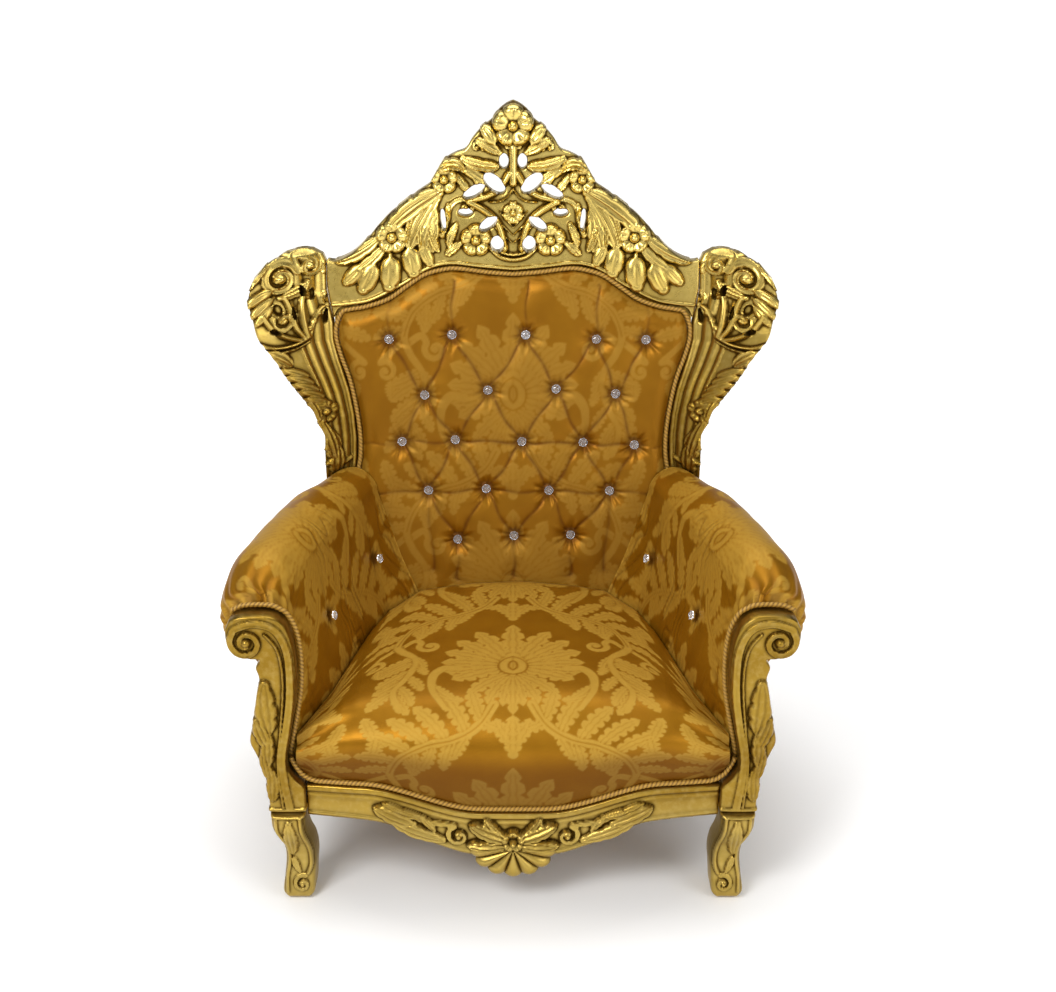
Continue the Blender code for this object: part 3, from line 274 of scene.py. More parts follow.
class Relief:
    """A carved sheet on a grid of (across, up): height, and how deep inside the outline each point is."""

    def __init__(self, low, high, step):
        self.low = low
        self.high = high
        self.step = step
        across = np.arange(low[0], high[0] + step, step)
        up = np.arange(low[1], high[1] + step, step)
        self.x, self.z = np.meshgrid(across, up, indexing="ij")
        self.height = np.zeros(self.x.shape)
        self.depth = np.full(self.x.shape, -1.0)

    def window(self, points, margin):
        """The part of the grid that holds the points with a margin round them."""
        low = points.min(0) - margin
        high = points.max(0) + margin
        first = [max(int((low[k] - self.low[k]) / self.step), 0) for k in (0, 1)]
        last = [max(int((high[k] - self.low[k]) / self.step) + 2, first[k] + 1) for k in (0, 1)]
        return slice(first[0], last[0]), slice(first[1], last[1])

    def follow(self, path, widths):
        """Near the path: share along it, signed distance over the half width there, and half width."""
        area = self.window(path, float(np.max(widths)) + 2 * self.step)
        x, z = self.x[area], self.z[area]
        nearest = np.full(x.shape, 1e9)
        share = np.zeros(x.shape)
        side = np.ones(x.shape)
        last = len(path) - 1
        for k in range(last):
            run = path[k + 1] - path[k]
            f, dx, dz = from_segment(x, z, path[k], path[k + 1])
            distance = np.hypot(dx, dz)
            closer = distance < nearest
            nearest = np.where(closer, distance, nearest)
            share = np.where(closer, (k + f) / last, share)
            side = np.where(closer, np.where(run[0] * dz - run[1] * dx < 0, -1.0, 1.0), side)
        half = np.interp(share, np.linspace(0, 1, len(widths)), widths)
        return area, share, side * nearest / np.maximum(half, 1e-5), half

    def lay(self, area, height, edge):
        """Keeps the higher of the old and new surface where the edge distance is positive."""
        inside = edge > 0
        self.height[area] = np.where(inside, np.maximum(self.height[area], height), self.height[area])
        self.depth[area] = np.maximum(self.depth[area], edge)

    def outline(self, points):
        """Distance inside the closed outline, less than 0 outside it."""
        nearest = np.full(self.x.shape, 1e9)
        crossings = np.zeros(self.x.shape, int)
        for start, end in zip(points, np.roll(points, -1, axis=0)):
            _, dx, dz = from_segment(self.x, self.z, start, end)
            nearest = np.minimum(nearest, np.hypot(dx, dz))
            if start[1] != end[1]:
                spans = (self.z > start[1]) != (self.z > end[1])
                lean = (end[0] - start[0]) / (end[1] - start[1])
                crossings += spans & (self.x < start[0] + (self.z - start[1]) * lean)
        return np.where(crossings % 2 == 1, nearest, -nearest)

    def leaf(self, at, degrees, length, width, bend=0.0, rise=0.009, lobes=4, notch=0.14):
        """A carved leaf: h = rise * swell along it * flutes across it * sqrt(1 - u^3).

        Its middle line turns by bend on its way, and its rim is drawn in at notches between the lobes. With
        no lobes it is a plain gadroon.
        """
        t = np.linspace(0, 1, 16)
        angle = np.radians(degrees + bend * t)
        steps = length / 15 * np.stack([np.cos(angle), np.sin(angle)], axis=1)
        path = np.array(at) + np.concatenate([[(0.0, 0.0)], np.cumsum(steps[:-1], axis=0)])
        if lobes == 0:
            widths = width / 2 * np.sqrt(np.clip(1.02 - np.abs(2 * t - 1.16) ** 3.4, 0.05, 1))
        else:
            fine = np.linspace(0, 1, 80)
            body = 0.42 + 0.58 * np.sin(math.pi * np.clip(fine * 0.86 + 0.06, 0, 1))
            body *= np.sqrt(np.clip(1 - ((fine - 0.80) / 0.205).clip(0, 1) ** 2, 0.01, 1))
            widths = width / 2 * body * (1 - notch * np.abs(np.cos(lobes * math.pi * (fine - 0.04))) ** 8)
        area, share, across, half = self.follow(path, widths)
        u = np.clip(np.abs(across), 0, 1)
        swell = 0.50 + 0.50 * np.sin(math.pi * np.clip(0.15 + share * 0.70, 0, 1))
        if lobes == 0:
            flutes = 1 - 0.16 * np.exp(-((u / 0.16) ** 2)) * ease(share, 0.15, 0.6)
        else:
            flutes = 0.87 + 0.13 * np.cos(2 * math.pi * 1.4 * u * (1 + 0.15 * share))
        self.lay(area, rise * swell * np.sqrt(1 - u**3) * flutes, half * (1 - np.abs(across)))

    def leaves(self, *rows):
        """Leaves by row: across, up, degrees, length, width, bend, rise and lobes."""
        for across, up, *values in rows:
            self.leaf((across, up), *values)

    def flower(self, at, radius, petals=5, rise=0.013, turn=90.0, bead=0.30, lift=0.0):
        """Petals that rise to a rolled rim, with a domed bead in the middle.

        h = rise (0.35 + 0.65 u^1.3) (1 - u^8) (0.55 + 0.45 swing^0.4 - groove), with a swing of
        |cos(petals turn / 2)|.
        """
        spot = np.array([at])
        area = self.window(spot, radius * 1.1)
        dx, dz = self.x[area] - at[0], self.z[area] - at[1]
        reach = np.hypot(dx, dz)
        swing = np.abs(np.cos(petals * (np.arctan2(dz, dx) - math.radians(turn)) / 2))
        rim = radius * (0.80 + 0.20 * swing**0.45)
        u = np.clip(reach / rim, 0, 1)
        groove = 0.16 * np.exp(-(((swing - 1) * 30) ** 2)) * ease(u, 0.35, 0.6)
        height = rise * (0.35 + 0.65 * u**1.3) * (1 - u**8) * (0.55 + 0.45 * swing**0.4 - groove)
        dome = np.sqrt(np.clip(1 - (reach / (bead * radius)) ** 2, 0, 1))
        height = lift + np.maximum(height, rise * (0.35 + 0.75 * dome) * (dome > 0))
        self.lay(area, height, rim - reach)

    def line(self, points, half_width, rise=0.004, taper=1.0, count=30):
        """A round moulding along a smooth line: h = rise sqrt(1 - u^2)."""
        path = through(points, count)
        widths = np.linspace(half_width, half_width * taper, count)
        area, _, across, half = self.follow(path, widths)
        u = np.clip(np.abs(across), 0, 1)
        self.lay(area, rise * np.sqrt(1 - u**2), half * (1 - np.abs(across)))

    def scroll(self, eye, radius, degrees, turns, half_width, tail=(), rise=0.010):
        """A channelled volute r = radius (1 - 0.78 share) wound in to a domed eye, after an optional tail.

        h = rise (0.55 + 0.45 share) (0.55 + 0.45 u^2) (1 - u^6).
        """
        share = np.linspace(0, 1, max(10, int(abs(turns) * 14)))
        angle = np.radians(degrees) + turns * 2 * math.pi * share
        reach = radius * (1 - 0.78 * share)
        spiral = np.array(eye) + np.stack([reach * np.cos(angle), reach * np.sin(angle)], axis=1)
        points = np.concatenate([np.array(tail, float).reshape(-1, 2), spiral])
        path = through(points, 4 * len(points))
        widths = half_width * np.linspace(1.0, 0.55, len(path))
        area, share, across, half = self.follow(path, widths)
        u = np.clip(np.abs(across), 0, 1)
        height = rise * (0.55 + 0.45 * share) * (0.55 + 0.45 * u**2) * (1 - u**6)
        self.lay(area, height, half * (1 - np.abs(across)))
        self.dome(eye, radius * 0.30, rise * 1.15)

    def dome(self, at, radius, rise):
        """h = rise sqrt(1 - (r / radius)^2)."""
        area = self.window(np.array([at]), radius * 1.2)
        reach = np.hypot(self.x[area] - at[0], self.z[area] - at[1])
        height = rise * np.sqrt(np.clip(1 - (reach / radius) ** 2, 0, 1))
        self.lay(area, height, radius - reach)

    def pit(self, at, half_length, half_width, degrees, deep=None):
        """An oval opening, or a backed hollow where a depth is given."""
        turn = math.radians(degrees)
        dx, dz = self.x - at[0], self.z - at[1]
        along = (dx * math.cos(turn) + dz * math.sin(turn)) / half_length
        wide = (dz * math.cos(turn) - dx * math.sin(turn)) / half_width
        edge = (np.hypot(along, wide) - 1) * min(half_length, half_width)
        if deep is None:
            self.depth = np.minimum(self.depth, edge)
        else:
            sunk = np.minimum(self.height, -deep * ease(-edge, 0, 0.003))
            self.height = np.where(edge < 0, sunk, self.height)


def mirrored_sheet(half):
    """A whole sheet from one drawn for the right half, which starts a little left of the middle."""
    full = Relief((-half.high[0], half.low[1]), half.high, half.step)
    index = np.clip(np.round((np.abs(full.x) - half.low[0]) / half.step).astype(int), 0, half.x.shape[0] - 1)
    column = np.arange(full.x.shape[1])[None, :]
    full.height = half.height[index, column]
    full.depth = half.depth[index, column]
    return full


def mesh_piece(name, points, faces, finish, fields=None, sharp=50.0):
    """One piece with smooth shading, and sharp edges where its faces meet at more than the angle."""
    mesh = bpy.data.meshes.new(name)
    mesh.from_pydata(np.asarray(points).tolist(), [], faces if isinstance(faces, list) else faces.tolist())
    for label, values in (fields or {}).items():
        layer = mesh.attributes.new(label, "FLOAT", "POINT")
        layer.data.foreach_set("value", np.ascontiguousarray(values, np.float32).ravel())
    mesh.shade_smooth()
    mesh.set_sharp_from_angle(angle=math.radians(sharp))
    mesh.materials.append(finish)
    piece = bpy.data.objects.new(name, mesh)
    bpy.context.scene.collection.objects.link(piece)
    return piece


def closed_piece(name, points, faces, finish, fields, sharp=50.0):
    """As mesh_piece, with the faces turned round together if the volume comes out below nothing."""
    piece = mesh_piece(name, points, faces, finish, fields, sharp)
    mesh = piece.data
    mesh.calc_loop_triangles()
    corners = np.zeros(len(mesh.loop_triangles) * 3, int)
    mesh.loop_triangles.foreach_get("vertices", corners)
    places = np.zeros(len(mesh.vertices) * 3)
    mesh.vertices.foreach_get("co", places)
    triangles = places.reshape(-1, 3)[corners.reshape(-1, 3)]
    volume = np.einsum("ij,ij->i", triangles[:, 0], np.cross(triangles[:, 1], triangles[:, 2])).sum()
    if volume < 0:
        mesh.flip_normals()
    return piece


def other_side(piece):
    """A copy of a right piece mirrored in X = 0, with its faces turned outwards again."""
    mesh = piece.data.copy()
    mesh.transform(Matrix.Scale(-1.0, 4, (1.0, 0.0, 0.0)))
    mesh.flip_normals()
    copy = bpy.data.objects.new(piece.name.replace("_right", "_left"), mesh)
    bpy.context.scene.collection.objects.link(copy)
    return copy


def settle(piece, slot, *nodes):
    """The piece rides on the chair's one body and stands for its nodes; the slot is not used."""
    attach(piece, "root")
    if nodes:
        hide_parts(*nodes)


def settle_pair(piece, slot, node):
    """The right piece and its mirror image stand for the nodes on both sides, padded to a fill if given."""
    for side, one in (("right", piece), ("left", other_side(piece))):
        settle(one, slot, f"{node}_{side}")


def rounding(inside, radius):
    """How far a rounded edge falls at a distance inside the outline: r - sqrt(r^2 - (r - d)^2)."""
    return radius - np.sqrt(np.clip(radius**2 - np.clip(radius - inside, 0, None) ** 2, 0, None))


def sheet_piece(name, relief, rule, thick, finish, fields, round_edge=0.003, round_back=0.002, sharp=50.0):
    """The relief's grid inside its outline as a closed board, its rim moved on to the outline.

    Front: rule(x, z, height - fall of the rounded edge). Back: rule(x, z, -thick). Walls join the rims.
    """
    depth = relief.depth
    middle = (depth[:-1, :-1] + depth[1:, :-1] + depth[1:, 1:] + depth[:-1, 1:]) / 4
    kept = middle > 0
    beside = np.zeros(depth.shape, int)
    for i, j in ((0, 0), (1, 0), (1, 1), (0, 1)):
        beside[i : i + kept.shape[0], j : j + kept.shape[1]] += kept
    rim = (beside > 0) & (beside < 4)
    slope_x, slope_z = np.gradient(depth, relief.step)
    steep = np.maximum(slope_x**2 + slope_z**2, 0.25)
    pull = np.clip(depth / steep, -0.8 * relief.step, 0.8 * relief.step) * rim
    x = relief.x - pull * slope_x
    z = relief.z - pull * slope_z
    inner = np.clip(depth, 0, None) * ~rim
    fall = rounding(inner, round_edge)
    back_fall = rounding(inner, round_back)
    used = beside > 0
    number = np.full(depth.shape, -1)
    number[used] = np.arange(used.sum())
    total = int(used.sum())
    front = rule(x[used], z[used], (relief.height - fall)[used])
    back = rule(x[used], z[used], -(thick - back_fall[used]))
    corner = [number[:-1, :-1], number[1:, :-1], number[1:, 1:], number[:-1, 1:]]
    cells = np.stack([c[kept] for c in corner], axis=1)
    faces = [cells, cells[:, ::-1] + total]
    lone = np.pad(kept, 1)
    neighbours = (lone[1:-1, :-2], lone[2:, 1:-1], lone[1:-1, 2:], lone[:-2, 1:-1])
    for side, neighbour in enumerate(neighbours):
        open_side = kept & ~neighbour
        a = corner[side][open_side]
        b = corner[(side + 1) % 4][open_side]
        faces.append(np.stack([b, a, a + total, b + total], axis=1))
    values = {label: np.concatenate([field[used], np.zeros(total)]) for label, field in fields.items()}
    return mesh_piece(name, np.concatenate([front, back]), np.concatenate(faces), finish, values, sharp)


def hollows(relief, reach=0.004):
    """How far each point lies below its surroundings, from 0 to 1: where the gilding takes dark glaze and
    painted shade.
    """
    ground = np.clip(relief.height, -0.006, None)
    around = softened(ground, reach / relief.step)
    return np.clip((around - ground) / 0.0028, 0, 1)


def back_y(z):
    """The raked plane of the back: set + (z - seat) rake."""
    return BACK_SET + (z - SEAT_TOP) * BACK_RAKE + SHIFT


def on_back(x, z, height):
    """(x, back(z) - proud - height, z)."""
    return np.stack([x, back_y(z) - BOARD_PROUD - height, z], axis=-1)


def on_panel(x, z, height):
    """(x, back(z) - height, z)."""
    return np.stack([x, back_y(z) - height, z], axis=-1)


def opening_half(z):
    line = np.array(OPENING_LINE)
    return np.interp(z, line[:, 1], line[:, 0])


def wing_forward(x, z):
    """reach (1 - (1 - s)^1.7), with s the share of the way out from the flat strip."""
    share = np.clip((x - opening_half(z) - WING_FLAT) / WING_SPREAD, 0, 1)
    return WING_REACH * (1 - (1 - share) ** 1.7)


def wing_surface(x, z):
    """(x, back(z) - proud - wing_forward(x, z), z)."""
    return np.stack([x, back_y(z) - BOARD_PROUD - wing_forward(x, z), z], axis=-1)


def on_wing(x, z, height):
    """The wing's surface moved along its normal by the height, or straight back below it."""
    step = 0.004
    right = wing_surface(x + step, z) - wing_surface(x - step, z)
    rise = wing_surface(x, z + step) - wing_surface(x, z - step)
    normal = unit(np.cross(right, rise))
    height = np.asarray(height)[..., None]
    return wing_surface(x, z) + normal * np.clip(height, 0, None) - (0.0, 1.0, 0.0) * np.clip(height, None, 0)


def front_y(x):
    """The bowed face of the front rail: face - bow (1 - s^2)."""
    share = np.clip(np.abs(x) / RAIL_HALF, 0, 1)
    return FRONT_FACE - FRONT_BOW * (1 - share**2) + SHIFT


def rail_top(x):
    """Top of the front rail, which eases down to its middle."""
    share = np.clip(np.abs(x) / RAIL_HALF, 0, 1)
    return RAIL_TOP - RAIL_DROP * (1 - ease(share, 0.16, 0.72))


def on_rail(x, z, height):
    """(x, front(x) - height, z)."""
    return np.stack([x, front_y(x) - height, z], axis=-1)


def on_post(x, z, height):
    """(x, the posts' flat front - height, z)."""
    return np.stack([x, np.full_like(x, FRONT_FACE - SUPPORT_PROUD + SHIFT) - height, z], axis=-1)


def on_leg(x, z, height):
    """The leg's front stands forward by a smooth curve through its sections."""
    line = through(LEG_SECTIONS, 80)
    forward = np.interp(z, line[:, 0], line[:, 3])
    return np.stack([x, FRONT_FACE - forward - height + SHIFT, z], axis=-1)


class Value:
    """A shader socket that takes part in arithmetic: each operator adds one Math node."""

    def __init__(self, nodes, socket):
        self.nodes = nodes
        self.socket = socket

    def _with(self, operation, other, swapped=False):
        inputs = (other, self) if swapped else (self, other)
        return self.nodes.add("ShaderNodeMath", {"operation": operation}, *inputs)

    def __add__(self, other):
        return self._with("ADD", other)

    def __mul__(self, other):
        return self._with("MULTIPLY", other)

    def __sub__(self, other):
        return self._with("SUBTRACT", other)

    def __rsub__(self, other):
        return self._with("SUBTRACT", other, swapped=True)

    __radd__ = __add__
    __rmul__ = __mul__


class Finish:
    """One material being built: its nodes, and its Principled shader."""

    def __init__(self, name, colour, roughness, metallic=0.0, **constants):
        self.material = bpy.data.materials.new(name)
        self.material.use_nodes = True
        self.tree = self.material.node_tree
        self.shader = self.tree.nodes["Principled BSDF"]
        self.shader.inputs["Base Color"].default_value = (*colour[:3], 1.0)
        self.shader.inputs["Roughness"].default_value = roughness
        self.shader.inputs["Metallic"].default_value = metallic
        for label, value in constants.items():
            self.shader.inputs[label.replace("_", " ")].default_value = value

    def connect(self, value, socket):
        if isinstance(value, Value):
            self.tree.links.new(value.socket, socket)
        else:
            socket.default_value = value

    def add(self, kind, settings, *inputs, out=0, **named):
        """A node of the kind with its settings, and its inputs by order or by name."""
        node = self.tree.nodes.new(kind)
        for label, value in settings.items():
            if label == "stops":
                ramp = node.color_ramp
                while len(ramp.elements) < len(value):
                    ramp.elements.new(1.0)
                for element, (place, shade) in zip(ramp.elements, value):
                    element.position = place
                    element.color = (shade, shade, shade, 1.0)
            else:
                setattr(node, label, value)
        for socket, value in zip(node.inputs, inputs):
            self.connect(value, socket)
        for label, value in named.items():
            self.connect(value, node.inputs[label.replace("_", " ")])
        return Value(self, node.outputs[out])

    def place(self, x=1.0, y=1.0, z=1.0):
        """Object coordinates, stretched."""
        spot = self.add("ShaderNodeTexCoord", {}, out="Object")
        return self.add("ShaderNodeMapping", {}, Vector=spot, Scale=(x, y, z))

    def noise(self, scale, detail=2.0, where=None):
        spot = where or self.place()
        return self.add("ShaderNodeTexNoise", {}, Vector=spot, Scale=scale, Detail=detail)

    def field(self, label):
        return self.add("ShaderNodeAttribute", {"attribute_name": label}, out="Fac")

    def ramp(self, value, *stops):
        return self.add("ShaderNodeValToRGB", {"stops": stops}, value)

    def mix(self, share, first, second):
        """The first colour where the share is 0, the second where it is 1."""
        node = self.tree.nodes.new("ShaderNodeMix")
        node.data_type = "RGBA"
        self.connect(share, node.inputs[0])
        for value, socket in ((first, node.inputs[6]), (second, node.inputs[7])):
            self.connect(value if isinstance(value, Value) else (*value[:3], 1.0), socket)
        return Value(self, node.outputs[2])

    def bump(self, height, distance, strength=1.0):
        values = {"Height": height, "Distance": distance, "Strength": strength}
        return self.add("ShaderNodeBump", {}, out="Normal", **values)

    def feed(self, **sockets):
        for label, value in sockets.items():
            self.connect(value, self.shader.inputs[label.replace("_", " ")])
        return self.material


class GildingSettings(bpy.types.PropertyGroup):
    leaf_colour: bpy.props.FloatVectorProperty(
        name="Leaf", description="Colour of the gold leaf", subtype="COLOR", size=3,
        default=(0.755, 0.575, 0.165), min=0, max=1)
    # Painted shade: the leaf darkens to this colour on the lower parts, the legs and rails
    low_shade_colour: bpy.props.FloatVectorProperty(
        name="Low leaf", description="Colour of the duller leaf on the legs and rails", subtype="COLOR",
        size=3, default=(0.242, 0.138, 0.016), min=0, max=1)
    # Dark glaze of the hollows, which also stands for their painted shade
    glaze_and_shade_colour: bpy.props.FloatVectorProperty(
        name="Hollows", description="Colour of the dark glaze in the hollows", subtype="COLOR", size=3,
        default=(0.075, 0.038, 0.004), min=0, max=1)
    roughness: bpy.props.FloatProperty(
        name="Roughness", description="Roughness of the burnished leaf", default=0.19, min=0, max=1)
    grid: bpy.props.FloatProperty(
        name="Grid", description="Distance between the points of the carved relief", default=0.0018,
        min=0.001, max=0.01, unit="LENGTH")


class DamaskSettings(bpy.types.PropertyGroup):
    ground_colour: bpy.props.FloatVectorProperty(
        name="Ground", description="Colour of the satin ground", subtype="COLOR", size=3,
        default=(0.265, 0.112, 0.003), min=0, max=1)
    figure_colour: bpy.props.FloatVectorProperty(
        name="Figure", description="Colour of the woven figure", subtype="COLOR", size=3,
        default=(0.45, 0.262, 0.034), min=0, max=1)
    seat_grid: bpy.props.FloatProperty(
        name="Seat grid", description="Distance between the points of the seat", default=0.0021,
        min=0.001, max=0.02, unit="LENGTH")
    cord_colour: bpy.props.FloatVectorProperty(
        name="Cord", description="Colour of the corded edges", subtype="COLOR", size=3,
        default=(0.26, 0.13, 0.012), min=0, max=1)


class StageSettings(bpy.types.PropertyGroup):
    lens: bpy.props.FloatProperty(
        name="Lens", description="Focal length of the photograph's camera, in mm", default=51.53,
        unit="CAMERA")
    pitch: bpy.props.FloatProperty(
        name="Pitch", description="How far the camera looks down", default=math.radians(20.17),
        subtype="ANGLE")
    eye_height: bpy.props.FloatProperty(
        name="Eye height", description="Height of the camera", default=1.75, unit="LENGTH")
    eye_distance: bpy.props.FloatProperty(
        name="Eye distance", description="Distance of the camera in front of the drawing's origin",
        default=2.93, unit="LENGTH")


def gold_finish():
    """Old burnished leaf: bright on the ridges, brown glaze and painted shade in the hollows, painted shade
    on the lower parts with painted light at the feet, thin in places.
    """
    found = bpy.data.materials.get("gilded_wood_leaf")
    if found:
        return found
    chosen = bpy.context.scene.throne_gilding
    made = Finish("gilded_wood_leaf", chosen.leaf_colour, chosen.roughness, 1.0)
    hollow = made.field("hollow")
    cloud = made.noise(9.0, 3.0)
    fine = made.noise(90.0, 4.0)
    spot = made.add("ShaderNodeTexCoord", {}, out="Object")
    up = made.add("ShaderNodeSeparateXYZ", {}, spot, out="Z") * 0.85
    # Painted shade by height: the leaf darkens to the low colour from 1.18 m down to 0.85 m, and painted
    # light brings it part way back below 0.24 m
    height_shaded_leaf = made.mix(made.ramp(up, (0.72, 0.0), (1.0, 1.0)), chosen.low_shade_colour, chosen.leaf_colour)
    height_shaded_leaf = made.mix(made.ramp(up, (0.14, 0.45), (0.20, 0.0)), height_shaded_leaf, chosen.leaf_colour)
    leaf = made.mix(made.ramp(cloud, (0.35, 0.0), (0.70, 0.55)), height_shaded_leaf, (0.44, 0.29, 0.05))
    worn = made.mix(made.ramp(fine, (0.45, 0.0), (0.75, 0.13)), leaf, (0.84, 0.66, 0.26))
    # The hollow field brings in the dark glaze and the painted shade of the hollows
    glaze = made.add("ShaderNodeMath", {"operation": "MULTIPLY", "use_clamp": True}, hollow, 1.15)
    colour = made.mix(glaze, worn, chosen.glaze_and_shade_colour)
    rough = chosen.roughness + made.ramp(up, (0.72, 0.11), (1.0, 0.0)) + fine * 0.10 + glaze * 0.30
    grain = made.bump(made.noise(240.0, 3.0), 0.0006, 0.35)
    return made.feed(Base_Color=colour, Roughness=rough, Normal=grain)


def damask_finish():
    """Satin ground and a lighter matt figure, with a fine weave across both and painted shade in the folds.
    """
    found = bpy.data.materials.get("gold_damask_cloth")
    if found:
        return found
    chosen = bpy.context.scene.throne_damask
    made = Finish("gold_damask_cloth", chosen.ground_colour, 0.40, 0.0, Specular_IOR_Level=0.15)
    figure = made.field("figure")
    cloud = made.noise(14.0, 2.0)
    thread = made.noise(600.0, 2.0, made.place(1.0, 1.0, 0.35))
    ground = made.mix(made.ramp(cloud, (0.35, 0.0), (0.70, 1.0)), chosen.ground_colour, (0.31, 0.138, 0.005))
    cloth = made.mix(figure, ground, chosen.figure_colour)
    # Painted shade: the cloth darkens by the hollow field in its folds, tucks and recesses
    crease = made.field("hollow")
    cloth = made.mix(crease * 0.75, cloth, (0.085, 0.022, 0.001))
    rough = 0.36 + figure * 0.20 + thread * 0.06
    metal = 0.55 - figure * 0.30
    height = figure * 0.5 + thread * 0.5
    return made.feed(Base_Color=cloth, Roughness=rough, Metallic=metal, Normal=made.bump(height, 0.0007, 0.5))


def cord_finish():
    """Gold yarn, with painted shade in the furrow between its two plies."""
    found = bpy.data.materials.get("gold_cord")
    if found:
        return found
    chosen = bpy.context.scene.throne_damask
    made = Finish("gold_cord", chosen.cord_colour, 0.5, 0.25)
    ply = made.field("ply")
    # Painted shade in the furrow between the plies, where the cord is thinner
    colour = made.mix(ply, (0.12, 0.05, 0.004), (0.46, 0.26, 0.04))
    return made.feed(Base_Color=colour, Normal=made.bump(made.noise(900.0), 0.0004, 0.4))


class DamaskFigure:
    """The woven figure, drawn once: a palmette in an ogee of curling leaves, with dark veins and outlines."""

    MARGIN = 0.02
    STEP = 0.0011

    def __init__(self):
        high = (FIGURE_HALF + self.MARGIN, FIGURE_REPEAT + self.MARGIN)
        self.sheet = Relief((-self.MARGIN, -self.MARGIN), high, self.STEP)
        self.cuts = np.zeros(self.sheet.x.shape)
        for lift in (-FIGURE_REPEAT, 0.0, FIGURE_REPEAT):
            self.palmette(lift)
            self.branch(lift)
        sheet = self.sheet
        woven = np.where(sheet.depth > 0, 1.0, 0.0)
        veins = np.clip((softened(sheet.height, 0.0035 / self.STEP) - sheet.height) / 0.0013, 0, 1)
        grain = 0.90 + 0.10 * unevenness(sheet.x.shape, 1.6, 3)
        self.shade = softened(woven * (1 - 0.75 * veins) * (1 - self.cuts) * grain, 0.6)

    def cut(self, points, lift, width=0.0013):
        """A thin line of ground through the figure."""
        path = through(np.array(points) + (0.0, lift), 30)
        area, _, across, _ = self.sheet.follow(path, np.full(30, 4 * width))
        line = np.exp(-((across * 4) ** 2))
        self.cuts[area] = np.maximum(self.cuts[area], line)

    def leaves(self, lift, *rows):
        """Leaves by row, as the sheet's, moved up to one repeat and cut in at their lobes."""
        for across, up, *values in rows:
            self.sheet.leaf((across, up + lift), *values, lobes=5, notch=0.36)

    def line(self, lift, points, *values):
        """A stem, as the sheet's line, moved up to one repeat."""
        self.sheet.line(np.array(points) + (0.0, lift), *values)

    def scroll(self, lift, eye, radius, degrees, turns, half_width, tail=(), rise=0.010):
        """A curl, as the sheet's scroll, moved up to one repeat."""
        lifted = [(across, up + lift) for across, up in tail]
        self.sheet.scroll((eye[0], eye[1] + lift), radius, degrees, turns, half_width, lifted, rise)

    def palmette(self, lift):
        """Seven pairs of leaves fanned from a bulb, with smaller ones hanging from it."""
        for k, degrees in enumerate((90, 70, 51, 33, 16, 0, -15)):
            self.leaves(lift, (0.0, 0.125, degrees, 0.172 - 0.008 * k, 0.052, -14 if k else 0))
        self.leaves(
            lift, (0.0, 0.100, -28, 0.110, 0.038, -26), (0.0, 0.095, -52, 0.100, 0.036, -20),
            (0.0, 0.095, -72, 0.095, 0.030, -14), (0.0, 0.095, -90, 0.110, 0.034, 0),
            (0.0, 0.330, 90, 0.070, 0.044, 0), (0.0, 0.345, 48, 0.060, 0.030, 20),
            (0.020, 0.375, 10, 0.060, 0.026, 40),
        )
        self.sheet.leaf((0.0, 0.090 + lift), 90, 0.072, 0.058, 0, 0.016, 0)
        self.cut([(0.0, 0.093), (0.020, 0.104), (0.029, 0.128), (0.018, 0.152), (0.0, 0.164)], lift, 0.0017)
        self.cut([(0.0, 0.110), (0.008, 0.122), (0.006, 0.140), (0.0, 0.146)], lift, 0.0025)
        tail = [(0.104, 0.120), (0.134, 0.122), (0.154, 0.094), (0.152, 0.046), (0.128, 0.000)]
        self.line(lift, tail, 0.014, 0.010, 0.4)
        self.scroll(lift, (0.106, 0.106), 0.016, 60, -0.8, 0.006, (), 0.008)
        self.leaves(lift, (0.150, 0.060, -120, 0.060, 0.026, -30), (0.140, 0.030, -150, 0.050, 0.022, -30))

    def branch(self, lift):
        """The curling branch beside the palmette and the leaves along both of its sides."""
        stem = [(0.036, 0.425), (0.062, 0.385), (0.106, 0.356), (0.164, 0.338), (0.212, 0.300),
                (0.232, 0.250)]
        self.line(lift, [*stem, (0.216, 0.206)], 0.010, 0.010, 0.8)
        self.scroll(lift, (0.166, 0.222), 0.024, 40, -1.1, 0.008, [(0.222, 0.236), (0.196, 0.252)])
        self.scroll(lift, (0.272, 0.176), 0.022, 60, 1.1, 0.007, [(0.236, 0.236), (0.262, 0.214)])
        low = [(0.218, 0.210), (0.190, 0.160), (0.204, 0.100), (0.228, 0.050), (0.214, 0.000)]
        self.line(lift, low, 0.008, 0.010)
        self.cut(stem, lift)
        self.leaves(
            lift, (0.056, 0.390, 64, 0.080, 0.036, 20), (0.086, 0.366, 70, 0.090, 0.038, -20),
            (0.124, 0.352, 58, 0.095, 0.038, -20), (0.160, 0.340, 46, 0.095, 0.038, -20),
            (0.192, 0.322, 34, 0.090, 0.036, -20), (0.218, 0.290, 16, 0.080, 0.036, -20),
            (0.230, 0.262, -6, 0.070, 0.032, -20), (0.078, 0.374, -46, 0.070, 0.030, -30),
            (0.112, 0.356, -64, 0.072, 0.030, -24), (0.150, 0.342, -80, 0.070, 0.030, 24),
            (0.186, 0.322, -100, 0.066, 0.030, 30), (0.204, 0.306, -118, 0.050, 0.026, 0),
            (0.196, 0.178, -36, 0.080, 0.034, 26), (0.192, 0.150, -14, 0.080, 0.034, -30),
            (0.200, 0.120, -30, 0.080, 0.034, -20), (0.212, 0.090, -48, 0.070, 0.032, 20),
            (0.226, 0.050, -30, 0.070, 0.030, -30), (0.196, 0.176, -128, 0.060, 0.028, 40),
            (0.192, 0.140, -140, 0.046, 0.024, 40), (0.204, 0.098, -134, 0.060, 0.028, 30),
            (0.220, 0.066, -126, 0.066, 0.030, 20), (0.226, 0.040, -110, 0.060, 0.030, -20),
            (0.262, 0.120, 90, 0.036, 0.026, 0), (0.256, 0.340, 70, 0.070, 0.036, 0),
            (0.262, 0.300, 100, 0.060, 0.036, 0),
        )

